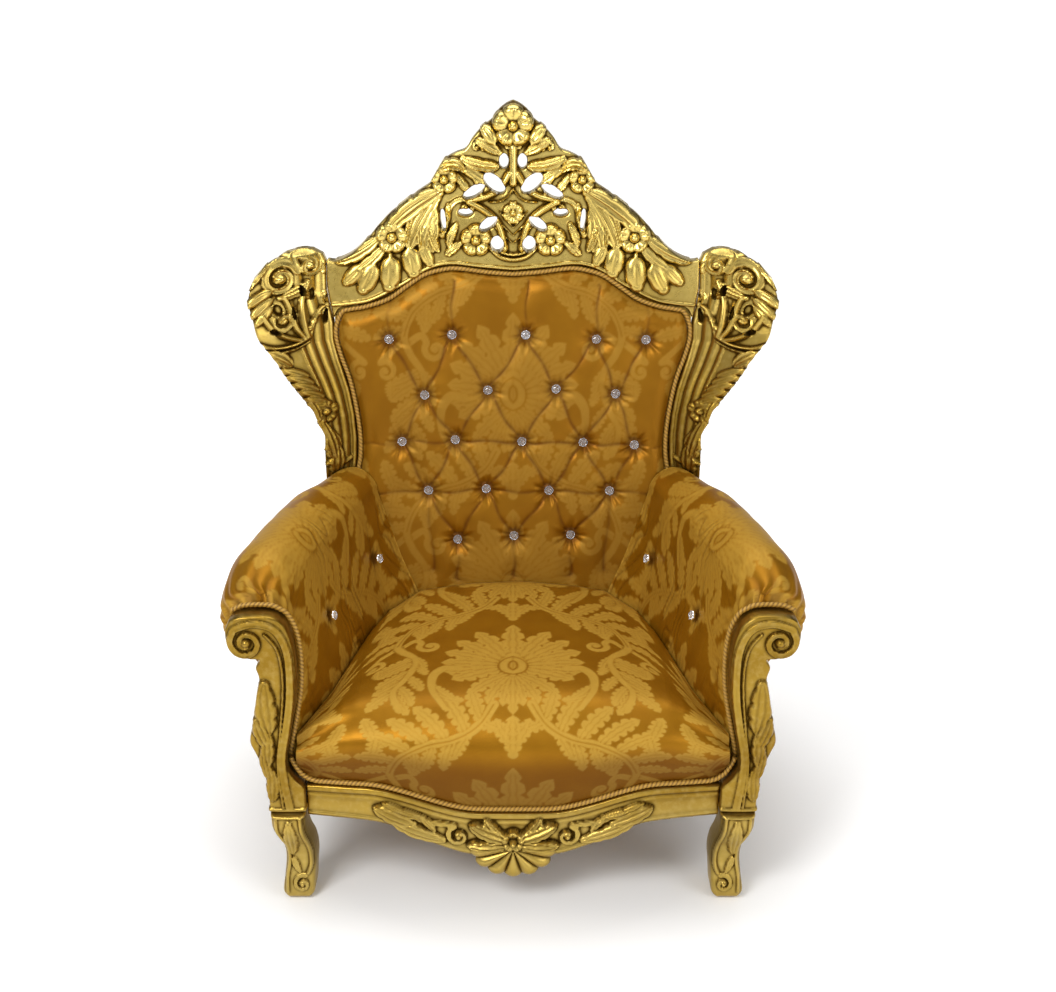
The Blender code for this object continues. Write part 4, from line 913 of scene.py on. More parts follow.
    def at(self, across, along):
        """The figure's shade at places on the cloth, mirrored across and repeated along."""
        u = np.abs((across + FIGURE_HALF) % (2 * FIGURE_HALF) - FIGURE_HALF)
        v = along % FIGURE_REPEAT
        i = (u + self.MARGIN) / self.STEP
        j = (v + self.MARGIN) / self.STEP
        i0 = np.clip(i.astype(int), 0, self.shade.shape[0] - 2)
        j0 = np.clip(j.astype(int), 0, self.shade.shape[1] - 2)
        fi = i - i0
        fj = j - j0
        s = self.shade
        low = s[i0, j0] * (1 - fi) + s[i0 + 1, j0] * fi
        high = s[i0, j0 + 1] * (1 - fi) + s[i0 + 1, j0 + 1] * fi
        return low * (1 - fj) + high * fj


@functools.cache
def cloth_figure():
    """The one drawing that every covered piece samples."""
    return DamaskFigure()


def carve_crest(sheet):
    """The right half of the crest's carving, which is mirrored later."""
    moulding = [(0.386, 1.022), (0.345, 1.026), (0.300, 1.035), (0.235, 1.067), (0.184, 1.098),
                (0.135, 1.110), (0.070, 1.104), (0.0, 1.098)]
    sheet.line(moulding, 0.004, 0.004, count=60)
    sheet.leaves(
        (0.166, 1.226, -82, 0.094, 0.034, -12, 0.011, 3), (0.164, 1.234, -66, 0.108, 0.036, -18, 0.013, 3),
        (0.160, 1.244, -52, 0.120, 0.040, -20, 0.015, 3), (0.156, 1.256, -26, 0.138, 0.046, -22, 0.017, 3),
        (0.178, 1.196, -96, 0.068, 0.022, -26, 0.014, 2), (0.192, 1.206, -80, 0.072, 0.022, -22, 0.015, 2),
        (0.206, 1.214, -62, 0.074, 0.022, -26, 0.016, 2), (0.286, 1.160, -40, 0.104, 0.036, 26, 0.013, 3),
        (0.272, 1.146, -54, 0.094, 0.030, 34, 0.012, 3), (0.196, 1.150, -118, 0.044, 0.028, 6, 0.010, 0),
        (0.222, 1.146, -104, 0.056, 0.042, 6, 0.013, 0), (0.260, 1.128, -92, 0.064, 0.046, 10, 0.014, 0),
        (0.294, 1.112, -72, 0.060, 0.042, 14, 0.013, 0), (0.320, 1.108, -54, 0.050, 0.032, 14, 0.011, 0),
        (0.236, 1.190, 130, 0.044, 0.022, 10, 0.012, 3), (0.150, 1.166, 110, 0.070, 0.016, -20, 0.012, 3),
        (0.120, 1.190, -60, 0.050, 0.022, -20, 0.010, 3), (0.112, 1.150, -30, 0.040, 0.022, -20, 0.010, 3),
        (0.112, 1.306, 200, 0.072, 0.026, 24, 0.011, 2), (0.106, 1.322, 206, 0.080, 0.030, -34, 0.014, 2),
        (0.028, 1.334, 34, 0.058, 0.028, -14, 0.013, 2), (0.038, 1.350, 66, 0.040, 0.030, -20, 0.016, 0),
        (0.104, 1.300, 46, 0.060, 0.030, -104, 0.019, 2), (0.118, 1.290, -120, 0.050, 0.020, -20, 0.010, 3),
        (0.004, 1.376, -70, 0.036, 0.020, -10, 0.010, 3), (0.0, 1.372, -90, 0.036, 0.020, 0, 0.012, 3),
    )
    sheet.flower((0.256, 1.163), 0.036, 5, 0.020)
    sheet.line([(0.0, 1.345), (0.0, 1.310), (0.0, 1.275)], 0.010, 0.012)
    sheet.line([(0.010, 1.292), (0.030, 1.262), (0.060, 1.245), (0.094, 1.240)], 0.0075, 0.013, 0.8)
    sheet.line([(0.094, 1.236), (0.054, 1.214), (0.030, 1.186), (0.018, 1.140)], 0.0075, 0.013, 1.0)
    sheet.line([(0.0, 1.262), (0.020, 1.240), (0.050, 1.235)], 0.002, 0.010)
    for i in range(5):
        sheet.line([(0.006 + 0.012 * i, 1.236 - 0.010 * i), (0.0, 1.214 - 0.016 * i)], 0.0016, 0.007, count=6)
    outer = [(-0.048, 1.141), (-0.028, 1.123), (0.0, 1.117), (0.028, 1.123), (0.048, 1.141)]
    inner = [(-0.040, 1.146), (-0.024, 1.132), (0.0, 1.127), (0.024, 1.132), (0.040, 1.146)]
    sheet.line(outer, 0.0045, 0.011)
    sheet.line(inner, 0.0035, 0.010)
    tail = [(0.150, 1.166), (0.142, 1.200), (0.128, 1.232)]
    sheet.scroll((0.100, 1.224), 0.018, 90, 0.9, 0.0065, tail, 0.013)
    sheet.flower((0.079, 1.157), 0.035, 5, 0.019)
    sheet.line([(0.104, 1.300), (0.086, 1.288), (0.074, 1.268), (0.066, 1.246)], 0.0055, 0.010, 0.7)
    sheet.scroll((0.076, 1.346), 0.013, 200, -0.9, 0.0045, (), 0.013)
    sheet.flower((0.145, 1.281), 0.031, 5, 0.020)


class CrestOperator(bpy.types.Operator):
    """The pierced crest with its flower, cartouche, roses, acanthus and gadroons"""

    bl_idname = "throne.crest"
    bl_label = "Crest"

    def execute(self, context):
        step = context.scene.throne_gilding.grid
        half = Relief((-0.004, 0.992), (0.402, 1.446), step)
        edge = np.concatenate([through(CREST_EDGE, 120), through(CREST_LOWER, 60)])
        half.depth = half.outline(closed_both(edge))
        limit = half.depth.copy()
        carve_crest(half)
        half.depth = np.minimum(half.depth, limit + 0.003)
        for across, up, long, wide, angle in CREST_OPENINGS:
            half.pit((across, up), long, wide, angle)
        full = mirrored_sheet(half)
        full.flower((0.0, 1.389), 0.045, 5, 0.024, 90.0, 0.24, 0.004)
        full.flower((0.0, 1.213), 0.024, 6, 0.012, 90.0, 0.3)
        full.height += 0.0002 * unevenness(full.x.shape, 4, 5) + 0.0016 * unevenness(full.x.shape, 16, 15)
        fields = {"hollow": hollows(full)}
        piece = sheet_piece("crest_carved", full, on_back, BOARD, gold_finish(), fields)
        settle(piece, "gilded_wood", "crest")
        return {"FINISHED"}


def carve_wing(sheet):
    """Volutes and leaves of the right wing, over its fluted inner band."""
    inner = opening_half(sheet.z)
    band = np.interp(sheet.z, *zip(*FLUTE_BAND))
    share = (sheet.x - inner) / band
    flutes = 0.0045 * np.abs(np.sin(math.pi * 3.5 * np.clip(share, 0, 1))) ** 0.8
    sheet.height = np.where((share >= 0) & (share < 1), flutes, 0.0)
    sheet.height = np.where(share >= 1, 0.002, sheet.height)
    tail = [(0.404, 1.096), (0.430, 1.128), (0.462, 1.130)]
    sheet.scroll((0.486, 1.090), 0.036, 160, -1.5, 0.010, tail, 0.016)
    sheet.scroll((0.431, 1.108), 0.024, 60, 1.2, 0.0075, (), 0.015)
    sheet.leaves(
        (0.512, 1.118, -35, 0.060, 0.026, -30, 0.014, 3), (0.500, 1.070, -20, 0.050, 0.024, -20, 0.013, 0),
        (0.498, 1.056, -36, 0.050, 0.022, -10, 0.012, 0), (0.500, 1.040, -50, 0.044, 0.020, 0, 0.011, 0),
        (0.486, 1.052, 172, 0.060, 0.026, -30, 0.014, 3), (0.470, 1.066, 200, 0.050, 0.020, 20, 0.012, 3),
        (0.512, 0.944, 206, 0.056, 0.034, 20, 0.016, 3), (0.430, 0.834, 240, 0.044, 0.026, 20, 0.012, 3),
        (0.408, 0.788, -112, 0.096, 0.030, 14, 0.014, 5), (0.396, 0.770, -130, 0.050, 0.018, 30, 0.010, 3),
        (0.380, 0.730, -88, 0.056, 0.036, 0, 0.013, 3),
    )
    sheet.scroll((0.480, 1.004), 0.022, 20, -1.1, 0.007, [(0.520, 1.040), (0.516, 1.010)], 0.014)
    sheet.scroll((0.393, 1.034), 0.021, 200, -1.2, 0.006, (), 0.012)
    sheet.line([(0.436, 0.965), (0.444, 1.000), (0.447, 1.040), (0.436, 1.078)], 0.0065, 0.014, 0.8)
    sheet.line([(0.440, 0.962), (0.458, 0.990), (0.470, 1.030), (0.480, 1.052)], 0.0055, 0.013, 0.8)
    sheet.line([(0.432, 0.966), (0.424, 0.996), (0.412, 1.016), (0.402, 1.020)], 0.005, 0.012, 0.8)
    sheet.line([(0.448, 0.960), (0.476, 0.972), (0.500, 0.990), (0.520, 1.020)], 0.006, 0.013, 0.8)
    for spot in ((0.415, 1.008), (0.4235, 0.995), (0.4325, 0.981)):
        sheet.dome(spot, 0.007, 0.013)
    sheet.line([(0.530, 0.966), (0.498, 0.953), (0.462, 0.954), (0.432, 0.966)], 0.0045, 0.013)
    sheet.line([(0.526, 0.954), (0.494, 0.943), (0.460, 0.945), (0.434, 0.956)], 0.0035, 0.011)
    for i in range(6):
        at = (0.492 - 0.0125 * i, 0.910 - 0.0165 * i)
        sheet.leaf(at, 196, 0.060 - 0.003 * i, 0.017, 14, 0.010, 0)
    sheet.flower((0.400, 0.808), 0.025, 5, 0.015)
    sheet.line([(0.352, 0.700), (0.378, 0.690), (0.398, 0.700)], 0.005, 0.009)
    for across, up, long, wide, angle in WING_HOLLOWS:
        sheet.pit((across, up), long, wide, angle, 0.010)


class WingsOperator(bpy.types.Operator):
    """The two carved wings of the back"""

    bl_idname = "throne.wings"
    bl_label = "Wings"

    def execute(self, context):
        step = context.scene.throne_gilding.grid * 0.95
        sheet = Relief((0.330, 0.545), (0.560, 1.160), step)
        edge = np.concatenate([through(OPENING_LINE, 70), through(WING_EDGE[::-1], 90)])
        sheet.depth = sheet.outline(edge)
        lower = np.array(WING_EDGE)[::-1][7:] + (0.0015, 0)
        allowed = sheet.outline(np.concatenate([OPENING_LINE, WING_LIMIT, lower]))
        carve_wing(sheet)
        sheet.depth = np.minimum(sheet.depth, allowed)
        sheet.height += 0.0002 * unevenness(sheet.x.shape, 4, 6) + 0.0012 * unevenness(sheet.x.shape, 14, 16)
        fields = {"hollow": hollows(sheet)}
        piece = sheet_piece("wing_carved_right", sheet, on_wing, WING_THICK, gold_finish(), fields)
        settle_pair(piece, "gilded_wood", "wing")
        return {"FINISHED"}


class FrontRailOperator(bpy.types.Operator):
    """The serpentine front rail with its leaves, scrolls and shell"""

    bl_idname = "throne.front_rail"
    bl_label = "Front rail"

    def execute(self, context):
        step = context.scene.throne_gilding.grid
        half = Relief((-0.004, 0.055), (0.395, 0.255), step)
        x = np.linspace(0, RAIL_HALF, 120)
        under = np.interp(x, *zip(*through(RAIL_UNDERSIDE, 90)))
        edge = np.concatenate([np.stack([x, rail_top(x)], 1), np.stack([x, under], 1)[::-1]])
        half.depth = half.outline(closed_both(edge))
        top_gap = rail_top(half.x) - half.z
        half.height = 0.004 * ease(0.015 - top_gap, 0.0, 0.005)
        half.height += 0.0014 * np.exp(-(((top_gap - 0.021) / 0.005) ** 2))
        under_gap = half.z - np.interp(half.x, x, under)
        half.height += 0.003 * np.exp(-(((under_gap - 0.008) / 0.004) ** 2))
        half.leaves(
            (0.010, 0.148, 18, 0.080, 0.036, 14, 0.018, 4), (0.012, 0.138, -10, 0.076, 0.028, 20, 0.017, 3),
            (0.022, 0.156, 40, 0.050, 0.024, 20, 0.015, 3), (0.134, 0.146, 14, 0.104, 0.032, 14, 0.012, 3),
            (0.190, 0.178, 18, 0.082, 0.036, 14, 0.013, 3), (0.170, 0.194, 8, 0.084, 0.022, 26, 0.011, 2),
            (0.150, 0.166, 60, 0.040, 0.018, -30, 0.010, 3),
        )
        self.shell(half)
        tail = [(0.196, 0.200), (0.166, 0.184), (0.134, 0.180)]
        half.scroll((0.104, 0.156), 0.022, 70, -1.1, 0.0065, tail, 0.014)
        full = mirrored_sheet(half)
        full.flower((0.0, 0.148), 0.024, 5, 0.026, 90.0, 0.3)
        full.height += 0.0003 * unevenness(full.x.shape, 4, 7) + 0.0010 * unevenness(full.x.shape, 14, 17)
        below_top = rail_top(full.x) - full.z
        full.depth = np.where(below_top < 0.0001, np.minimum(full.depth, below_top), full.depth)
        fields = {"hollow": hollows(full)}
        piece = sheet_piece("front_rail_carved", full, on_rail, RAIL_DEPTH, gold_finish(), fields)
        settle(piece, "gilded_wood", "front_rail")
        return {"FINISHED"}

    def shell(self, sheet):
        """A half fan of ribs: h = rise (0.35 + 0.65 |cos 6.5 angle|^0.7) (0.45 + 0.55 u) (1 - u^9)."""
        hub = (0.0, 0.128)
        area = sheet.window(np.array([hub]), 0.095)
        dx, dz = (sheet.x[area] - hub[0]) / 0.084, (sheet.z[area] - hub[1]) / 0.064
        angle = np.arctan2(-dz, dx)
        reach = np.hypot(dx, dz)
        ribs = np.abs(np.cos(6.5 * (angle - math.pi / 2)))
        rim = 0.88 + 0.12 * ribs**0.7
        u = np.clip(reach / rim, 0, 1)
        height = 0.017 * (0.35 + 0.65 * ribs**0.7) * (0.45 + 0.55 * u) * (1 - u**9)
        edge = (rim - reach) * 0.06
        sheet.lay(area, height, np.where(angle > -0.15, edge, -1.0))


class ArmSupportsOperator(bpy.types.Operator):
    """The scrolled posts in front of the arms"""

    bl_idname = "throne.arm_supports"
    bl_label = "Arm supports"

    def execute(self, context):
        sheet = Relief((0.388, 0.196), (0.530, 0.612), 0.0015)
        inner = through(SUPPORT_INNER[:15], 90)
        edge = np.concatenate([inner, np.array(SUPPORT_INNER[15:]), through(SUPPORT_EDGE[::-1], 90)])
        sheet.depth = sheet.outline(edge)
        limit = sheet.depth.copy()
        border = [(0.422, 0.212), (0.429, 0.262), (0.431, 0.318), (0.420, 0.380), (0.411, 0.440),
                  (0.4085, 0.500), (0.414, 0.548)]
        crown = [(0.434, 0.583), (0.470, 0.593), (0.503, 0.583)]
        sheet.scroll((0.484, 0.556), 0.031, 40, -1.4, 0.0085, border + crown, 0.011)
        beside = [(0.434, 0.212), (0.440, 0.300), (0.432, 0.370), (0.424, 0.440), (0.422, 0.500),
                  (0.430, 0.545), (0.450, 0.572)]
        sheet.line(beside, 0.003, 0.006, count=50)
        sheet.leaves(
            (0.456, 0.470, -86, 0.100, 0.046, -16, 0.012, 3),
            (0.474, 0.398, -104, 0.060, 0.032, -10, 0.012, 2),
            (0.454, 0.372, -84, 0.070, 0.030, -8, 0.011, 3), (0.466, 0.330, -100, 0.056, 0.026, 0, 0.010, 2),
            (0.450, 0.286, -88, 0.060, 0.030, 0, 0.010, 3),
        )
        sheet.line([(0.393, 0.2075), (0.425, 0.206), (0.460, 0.2075)], 0.004, 0.004)
        sheet.depth = np.minimum(sheet.depth, limit + 0.002)
        sheet.height += 0.0003 * unevenness(sheet.x.shape, 4, 8)
        fields = {"hollow": hollows(sheet, 0.003)}
        piece = sheet_piece("arm_support_carved_right", sheet, on_post, SUPPORT_DEPTH, gold_finish(), fields,
                            0.004)
        settle_pair(piece, "gilded_wood", "arm_support")
        return {"FINISHED"}


class FrontLegsOperator(bpy.types.Operator):
    """The cabriole front legs with their scrolled feet"""

    bl_idname = "throne.front_legs"
    bl_label = "Front legs"

    def execute(self, context):
        sheet = Relief((0.376, -0.001), (0.464, 0.2005), 0.0014)
        line = through(LEG_SECTIONS, 60)
        edge = np.concatenate([line[:, [1, 0]], line[::-1][:, [2, 0]]])
        sheet.depth = sheet.outline(edge)
        limit = sheet.depth.copy()
        inner = [(0.404, 0.190), (0.401, 0.160), (0.394, 0.128), (0.3895, 0.100), (0.390, 0.074),
                 (0.396, 0.058)]
        outer = [(0.450, 0.186), (0.448, 0.160), (0.440, 0.138), (0.432, 0.115), (0.431, 0.080),
                 (0.436, 0.050), (0.436, 0.020)]
        sheet.line(inner, 0.0045, 0.007, count=40)
        sheet.line(outer, 0.004, 0.005, count=40)
        sheet.scroll((0.407, 0.036), 0.017, 110, -1.3, 0.005, (), 0.009)
        sheet.leaves(
            (0.426, 0.178, -92, 0.080, 0.030, 0, 0.007, 4), (0.412, 0.060, 60, 0.034, 0.016, 20, 0.006, 3),
        )
        sheet.line([(0.395, 0.193), (0.427, 0.191), (0.459, 0.193)], 0.004, 0.005)
        rounded = 1 - np.clip(sheet.z / 0.024, 0, 1)
        toe = 0.0315 - 0.019 * (1 - np.sqrt(1 - rounded**2)) - np.abs(sheet.x - 0.4155)
        sheet.depth = np.minimum(sheet.depth, np.where(sheet.z < 0.024, np.minimum(limit, toe), limit))
        sheet.height += 0.0003 * unevenness(sheet.x.shape, 4, 9)
        fields = {"hollow": hollows(sheet, 0.003)}
        piece = sheet_piece("front_leg_carved_right", sheet, on_leg, LEG_DEPTH, gold_finish(), fields,
                            0.012, 0.012)
        settle_pair(piece, "gilded_wood", "front_leg")
        return {"FINISHED"}


class PlainFrameOperator(bpy.types.Operator):
    """Gilding and softened edges on the plain posts and rails"""

    bl_idname = "throne.plain_frame"
    bl_label = "Plain frame"

    def execute(self, context):
        for name in ("back_post_left", "back_post_right", "side_rail_left", "side_rail_right", "back_rail"):
            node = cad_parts[name]
            joined = bmesh.new()
            joined.from_mesh(node.data)
            joined.transform(node.matrix_world)
            bmesh.ops.remove_doubles(joined, verts=joined.verts, dist=0.0001)
            flat = math.radians(1)
            bmesh.ops.dissolve_limit(joined, angle_limit=flat, verts=joined.verts, edges=joined.edges)
            mesh = bpy.data.meshes.new(f"{name}_gilded")
            joined.to_mesh(mesh)
            joined.free()
            mesh.materials.append(gold_finish())
            piece = bpy.data.objects.new(f"{name}_gilded", mesh)
            context.scene.collection.objects.link(piece)
            rounded = piece.modifiers.new("Rounded", "BEVEL")
            rounded.width = 0.004
            rounded.segments = 3
            rounded.limit_method = "ANGLE"
            mesh.shade_smooth()
            mesh.set_sharp_from_angle(angle=math.radians(40))
            settle(piece, "gilded_wood", name)
        return {"FINISHED"}


def folds():
    """The panel's folds as (start, end, depth): diagonals between rows, seams and pulls to the edges."""
    found = []
    for upper, lower in zip(BUTTON_ROWS, BUTTON_ROWS[1:]):
        for first in upper:
            for second in lower:
                if abs(first[0] - second[0]) < 0.105:
                    found.append((first, second, FOLD_DEPTH))
    for row, deep in ((2, 0.0074), (3, 0.0068)):
        line = BUTTON_ROWS[row]
        for first, second in zip(line, line[1:]):
            found.append((first, second, deep))
        for end, side in ((line[0], -1), (line[-1], 1)):
            found.append((end, (side * 0.335, end[1] - 0.004), deep * 0.8))
    for x, z in BUTTON_ROWS[0]:
        found.append(((x, z), (x + 0.004, z + 0.115), 0.0060))
    for x, z in BUTTON_ROWS[4]:
        found.append(((x, z), (x, z - 0.085), 0.0060))
    for x, z in (BUTTON_ROWS[3][0], BUTTON_ROWS[3][-1]):
        found.append(((x, z), (x - 0.010 * np.sign(x), z - 0.170), 0.0045))
    return found


def tufted(x, z):
    """Height of the buttoned panel, and its painted shade, by how deep in a crease each place is and how near
    a button.

    Height = the pad's proud height + 6 mm - the deepest of folds and dimples, in mm at a distance d:
    fold = strength (0.5 e^(-d / 4.5) + 0.8 e^(-(d / 22)^2)), dimple = 16.5 e^(-((d - 10) / 17)^1.15).
    """
    pull = np.zeros(x.shape)
    dark = np.zeros(x.shape)
    for (ax, az), (bx, bz), deep in folds():
        f, dx, dz = from_segment(x, z, (ax, az), (bx, bz))
        wander = 0.003 * np.sin(f * 7 + ax * 40)
        off = ((z - az) * (bx - ax) - (x - ax) * (bz - az)) / np.hypot(bx - ax, bz - az) + wander
        beyond = np.hypot(dx, dz)
        distance = np.where((f > 0) & (f < 1), np.abs(off), beyond)
        strength = deep * (0.45 + 0.55 * np.abs(2 * f - 1) ** 1.2)
        crease = strength * (0.5 * np.exp(-distance / 0.0045) + 0.80 * np.exp(-((distance / 0.022) ** 2)))
        pull = np.maximum(pull, crease)
        # Painted shade along each fold
        dark = np.maximum(dark, strength / FOLD_DEPTH * np.exp(-((distance / 0.0035) ** 2)))
    for row in BUTTON_ROWS:
        for bx, bz in row:
            reach = np.hypot(x - bx, z - bz)
            angle = np.arctan2(z - bz, x - bx)
            hole = 0.0165 * np.exp(-((np.clip(reach - 0.010, 0, None) / 0.017) ** 1.15))
            rays = np.cos(9 * angle + bx * 90) + 0.6 * np.cos(14 * angle + bz * 70)
            rays *= np.exp(-((reach - 0.020) / 0.016) ** 2) * (reach > 0.009)
            pull = np.maximum(pull, hole) + 0.0011 * rays
            # Painted shade round each button
            dark = np.maximum(dark, 0.8 * np.exp(-((np.clip(reach - 0.010, 0, None) / 0.006) ** 2)))
    return PAD_PROUD + 0.006 - pull, np.clip(dark, 0, 1)


class BackPadOperator(bpy.types.Operator):
    """The buttoned damask panel of the back"""

    bl_idname = "throne.back_pad"
    bl_label = "Back pad"

    def execute(self, context):
        sheet = Relief((-0.376, 0.398), (0.376, 1.098), 0.0026)
        edge = np.concatenate([through(PANEL_EDGE, 200), [(0.348, 0.402)]])
        whole = closed_both(edge)
        longer = np.where((whole[:, 1] < 0.45)[:, None], whole - (0, 0.3), whole)
        sheet.depth = sheet.outline(whole)
        height, dark = tufted(sheet.x, sheet.z)
        # The border swells like a quarter circle over 35 mm, but not at the bottom, which the seat hides
        border = np.clip(sheet.outline(longer), 0, 0.035) / 0.035
        swell = np.sqrt(1 - (1 - border) ** 2)
        sheet.height = np.maximum(height * swell, -0.0035) + 0.0006 * unevenness(sheet.x.shape, 5, 11)
        figure = cloth_figure().at(sheet.x, sheet.z + 0.13)
        around = softened(sheet.height, 4)
        # Painted shade over the whole back, deeper in its folds, round its buttons and in its dips
        dark = np.clip(0.32 + dark * 0.7 + np.clip((around - sheet.height) / 0.006, 0, 0.6), 0, 1)
        fields = {"hollow": dark, "figure": figure * 0.52}
        piece = sheet_piece("back_pad_tufted", sheet, on_panel, BOARD - BOARD_PROUD, damask_finish(), fields,
                            0.001, 0.001, 80.0)
        settle(piece, "damask", "back_pad")
        return {"FINISHED"}


def crease_at(y):
    """How far out the seat meets the arm at a depth."""
    line = np.array(CREASE[:7])
    return np.interp(y, line[:, 1], line[:, 0])


def roll_at(y):
    """Across, up and radius of the arm's roll at a depth."""
    line = through(ARM_ROLL, 60)
    return [np.interp(y, line[:, 0], line[:, k]) for k in (1, 2, 3)]


def arm_outside(y):
    """How far out the arm's outside stands at a depth."""
    share = (y - FRONT_FACE) / (BACK_SET - FRONT_FACE)
    return ARM_OUTSIDE_FRONT + (ARM_OUTSIDE_BACK - ARM_OUTSIDE_FRONT) * share


def closed_grid(rings):
    """Quads between rings of as many points each, every ring wrapped round."""
    rows, count = rings.shape[:2]
    index = np.arange(rows * count).reshape(rows, count)
    nxt = np.roll(index, -1, axis=1)
    return np.stack([index[:-1], nxt[:-1], nxt[1:], index[1:]], axis=-1).reshape(-1, 4)


def capped(rings):
    """Points and faces of stacked rings, closed by a fan at each end."""
    rows, count = rings.shape[:2]
    total = rows * count
    index = np.arange(count)
    nxt = np.roll(index, -1)
    last = total - count
    front = np.stack([nxt, index, np.full(count, total)], axis=1)
    rear = np.stack([index + last, nxt + last, np.full(count, total + 1)], axis=1)
    points = np.concatenate([rings.reshape(-1, 3), [rings[0].mean(0), rings[-1].mean(0)]])
    return points, closed_grid(rings).tolist() + front.tolist() + rear.tolist()


def quads(index):
    """Quads between the neighbours in a grid of point numbers."""
    return np.stack([index[:-1, :-1], index[1:, :-1], index[1:, 1:], index[:-1, 1:]], axis=-1).reshape(-1, 4)


def smooth_ring(points, count):
    """A smooth ring through the points, as evenly spaced points, and their lengths along it."""
    line = through(np.concatenate([points, points[:1]]), 12 * len(points))
    run = lengths(line)
    places = np.linspace(0, run[-1], count, endpoint=False)
    return np.stack([np.interp(places, run, line[:, k]) for k in range(3)], axis=1), places


def arm_section(y, end_share):
    """The arm's section at a depth, from its inner foot over the roll to its outer foot.

    The roll is an arc of its radius between two straight feet. Towards the end each point is moved back by
    its share, on to the raked back and under the wing.
    """
    x, z, radius = roll_at(y)
    foot = crease_at(y) + FOOT_GAP
    outside = arm_outside(y)
    low = RAIL_TOP + 0.009
    points = [(foot, low), (foot, 0.33), (foot, SEAT_EDGE), (foot * 0.55 + (x - radius) * 0.45, 0.49)]
    for degrees in (178, 155, 130, 105, 80, 55, 30, 5, -20, -45):
        turn = math.radians(degrees)
        points.append((x + radius * math.cos(turn), z + radius * math.sin(turn)))
    points += [(outside, z - radius * 0.95), (outside, 0.42), (outside, low)]
    ring = []
    for across, up in points:
        rear = min(0.137 + (up - 0.42) * BACK_RAKE * 0.95, 0.145 + (up - 0.42) * BACK_RAKE) - 0.020
        rear -= float(wing_forward(np.array(across), np.array(up))) if up > 0.56 else 0.0
        depth = y + (rear - ARM_END) * end_share if up > 0.432 else y
        ring.append((across, depth, up))
    return np.array(ring)


class ArmPadsOperator(bpy.types.Operator):
    """The rolled arms in damask, pulled in at their buttons and ruched at the front"""

    bl_idname = "throne.arm_pads"
    bl_label = "Arm pads"

    def execute(self, context):
        count = 250
        depths = np.linspace(SUPPORT_BACK + GAP, ARM_END, 190)
        rings = []
        for y in depths:
            ring, places = smooth_ring(arm_section(y, float(ease(y, -0.02, ARM_END))), count)
            rings.append(ring)
        skin = np.array(rings)
        skin[..., 1] += SHIFT
        along = np.gradient(skin, axis=0)
        round_ = np.gradient(np.concatenate([skin[:, -1:], skin, skin[:, :1]], axis=1), axis=1)[:, 1:-1]
        normal = unit(np.cross(along, round_))
        middle = skin.mean(axis=1, keepdims=True)
        if ((skin - middle) * normal).sum() < 0:
            normal = -normal
        # Along its normal the skin moves by the sum of five heights, with f the distance from the front:
        # ruche = 3.8 mm cos(38 gathers round) e^(-f / 36 mm), tuck = -4 mm e^(-(f / 8 mm)^2), the pull of
        # the buttons, smooth crumples, and thin drawn lines where the skin faces inwards
        from_front = depths[:, None] - depths[0]
        turn = np.linspace(0, 2 * math.pi * 38, count)[None, :]
        wobble = unevenness(skin.shape[:2], 5, 21)
        ruche = 0.0038 * np.cos(turn + 5 * wobble + from_front * 30) * np.exp(-from_front / 0.036)
        ruche *= ease(skin[..., 2], 0.36, 0.44)
        tuck = -0.004 * np.exp(-((from_front / 0.008) ** 2))
        pull = np.zeros(skin.shape[:2])
        # Painted shade at the front tuck, and below round the buttons and in the skin's dips
        dark = 0.2 * np.exp(-((from_front / 0.006) ** 2)) * np.ones(skin.shape[:2])
        # A button at distance r pulls by 10 mm e^(-(r / 20 mm)^1.3), with rays and an upright fold above it
        for y, z in ARM_BUTTONS:
            spot = np.array(arm_face(y, z))
            reach = np.linalg.norm(skin - spot, axis=-1)
            rays = 0.0012 * np.cos(8 * np.arctan2(skin[..., 2] - z, skin[..., 1] - spot[1]))
            pull = pull - 0.010 * np.exp(-((reach / 0.020) ** 1.3)) + rays * np.exp(-((reach / 0.035) ** 2))
            fold = np.abs(skin[..., 1] - spot[1] + 0.2 * (skin[..., 2] - z) * 0.3)
            reachable = (skin[..., 2] > z) & (skin[..., 0] < spot[0] + 0.06)
            pull = pull - 0.003 * np.exp(-fold / 0.006) * reachable * ease(0.62 - skin[..., 2], 0, 0.08)
            # Painted shade round the button
            dark = np.maximum(dark, 0.9 * np.exp(-((reach / 0.014) ** 2)))
        crumple = 0.0016 * unevenness(skin.shape[:2], 6, 22)
        inside = ease(normal[..., 0] * -1, 0.3, 0.8)
        wave = np.sin(2 * math.pi * (skin[..., 1] + 0.25 * skin[..., 2]) / 0.061 + 6 * wobble)
        lines = -0.0030 * inside * np.abs(wave) ** 12 * ease(unevenness(skin.shape[:2], 12, 23), -0.1, 0.3)
        height = ruche + tuck + pull + crumple + lines
        height[-1] = 0
        skin = skin + normal * height[..., None]
        figure = cloth_figure().at(skin[..., 1] + 0.14, places[None, :] * np.ones((len(depths), 1)) + 0.1)
        # Painted shade in the skin's dips
        around = softened(height, 4)
        dark = np.clip(dark + np.clip((around - height) / 0.004, 0, 0.5), 0, 1)
        fields = {
            "figure": np.append(figure.ravel() * 0.8, (0.0, 0.0)),
            "hollow": np.append(dark.ravel(), (0.0, 0.0)),
        }
        piece = closed_piece("arm_pad_cloth_right", *capped(skin), damask_finish(), fields, 80.0)
        settle_pair(piece, "damask", "arm_pad")
        return {"FINISHED"}


def arm_face(y, z):
    """A point of the arm's inner face, in the world."""
    x, centre, radius = roll_at(y)
    foot = crease_at(y) + FOOT_GAP
    return Vector((float(np.interp(z, [SEAT_EDGE, centre], [foot, x - radius])), y + SHIFT, z))


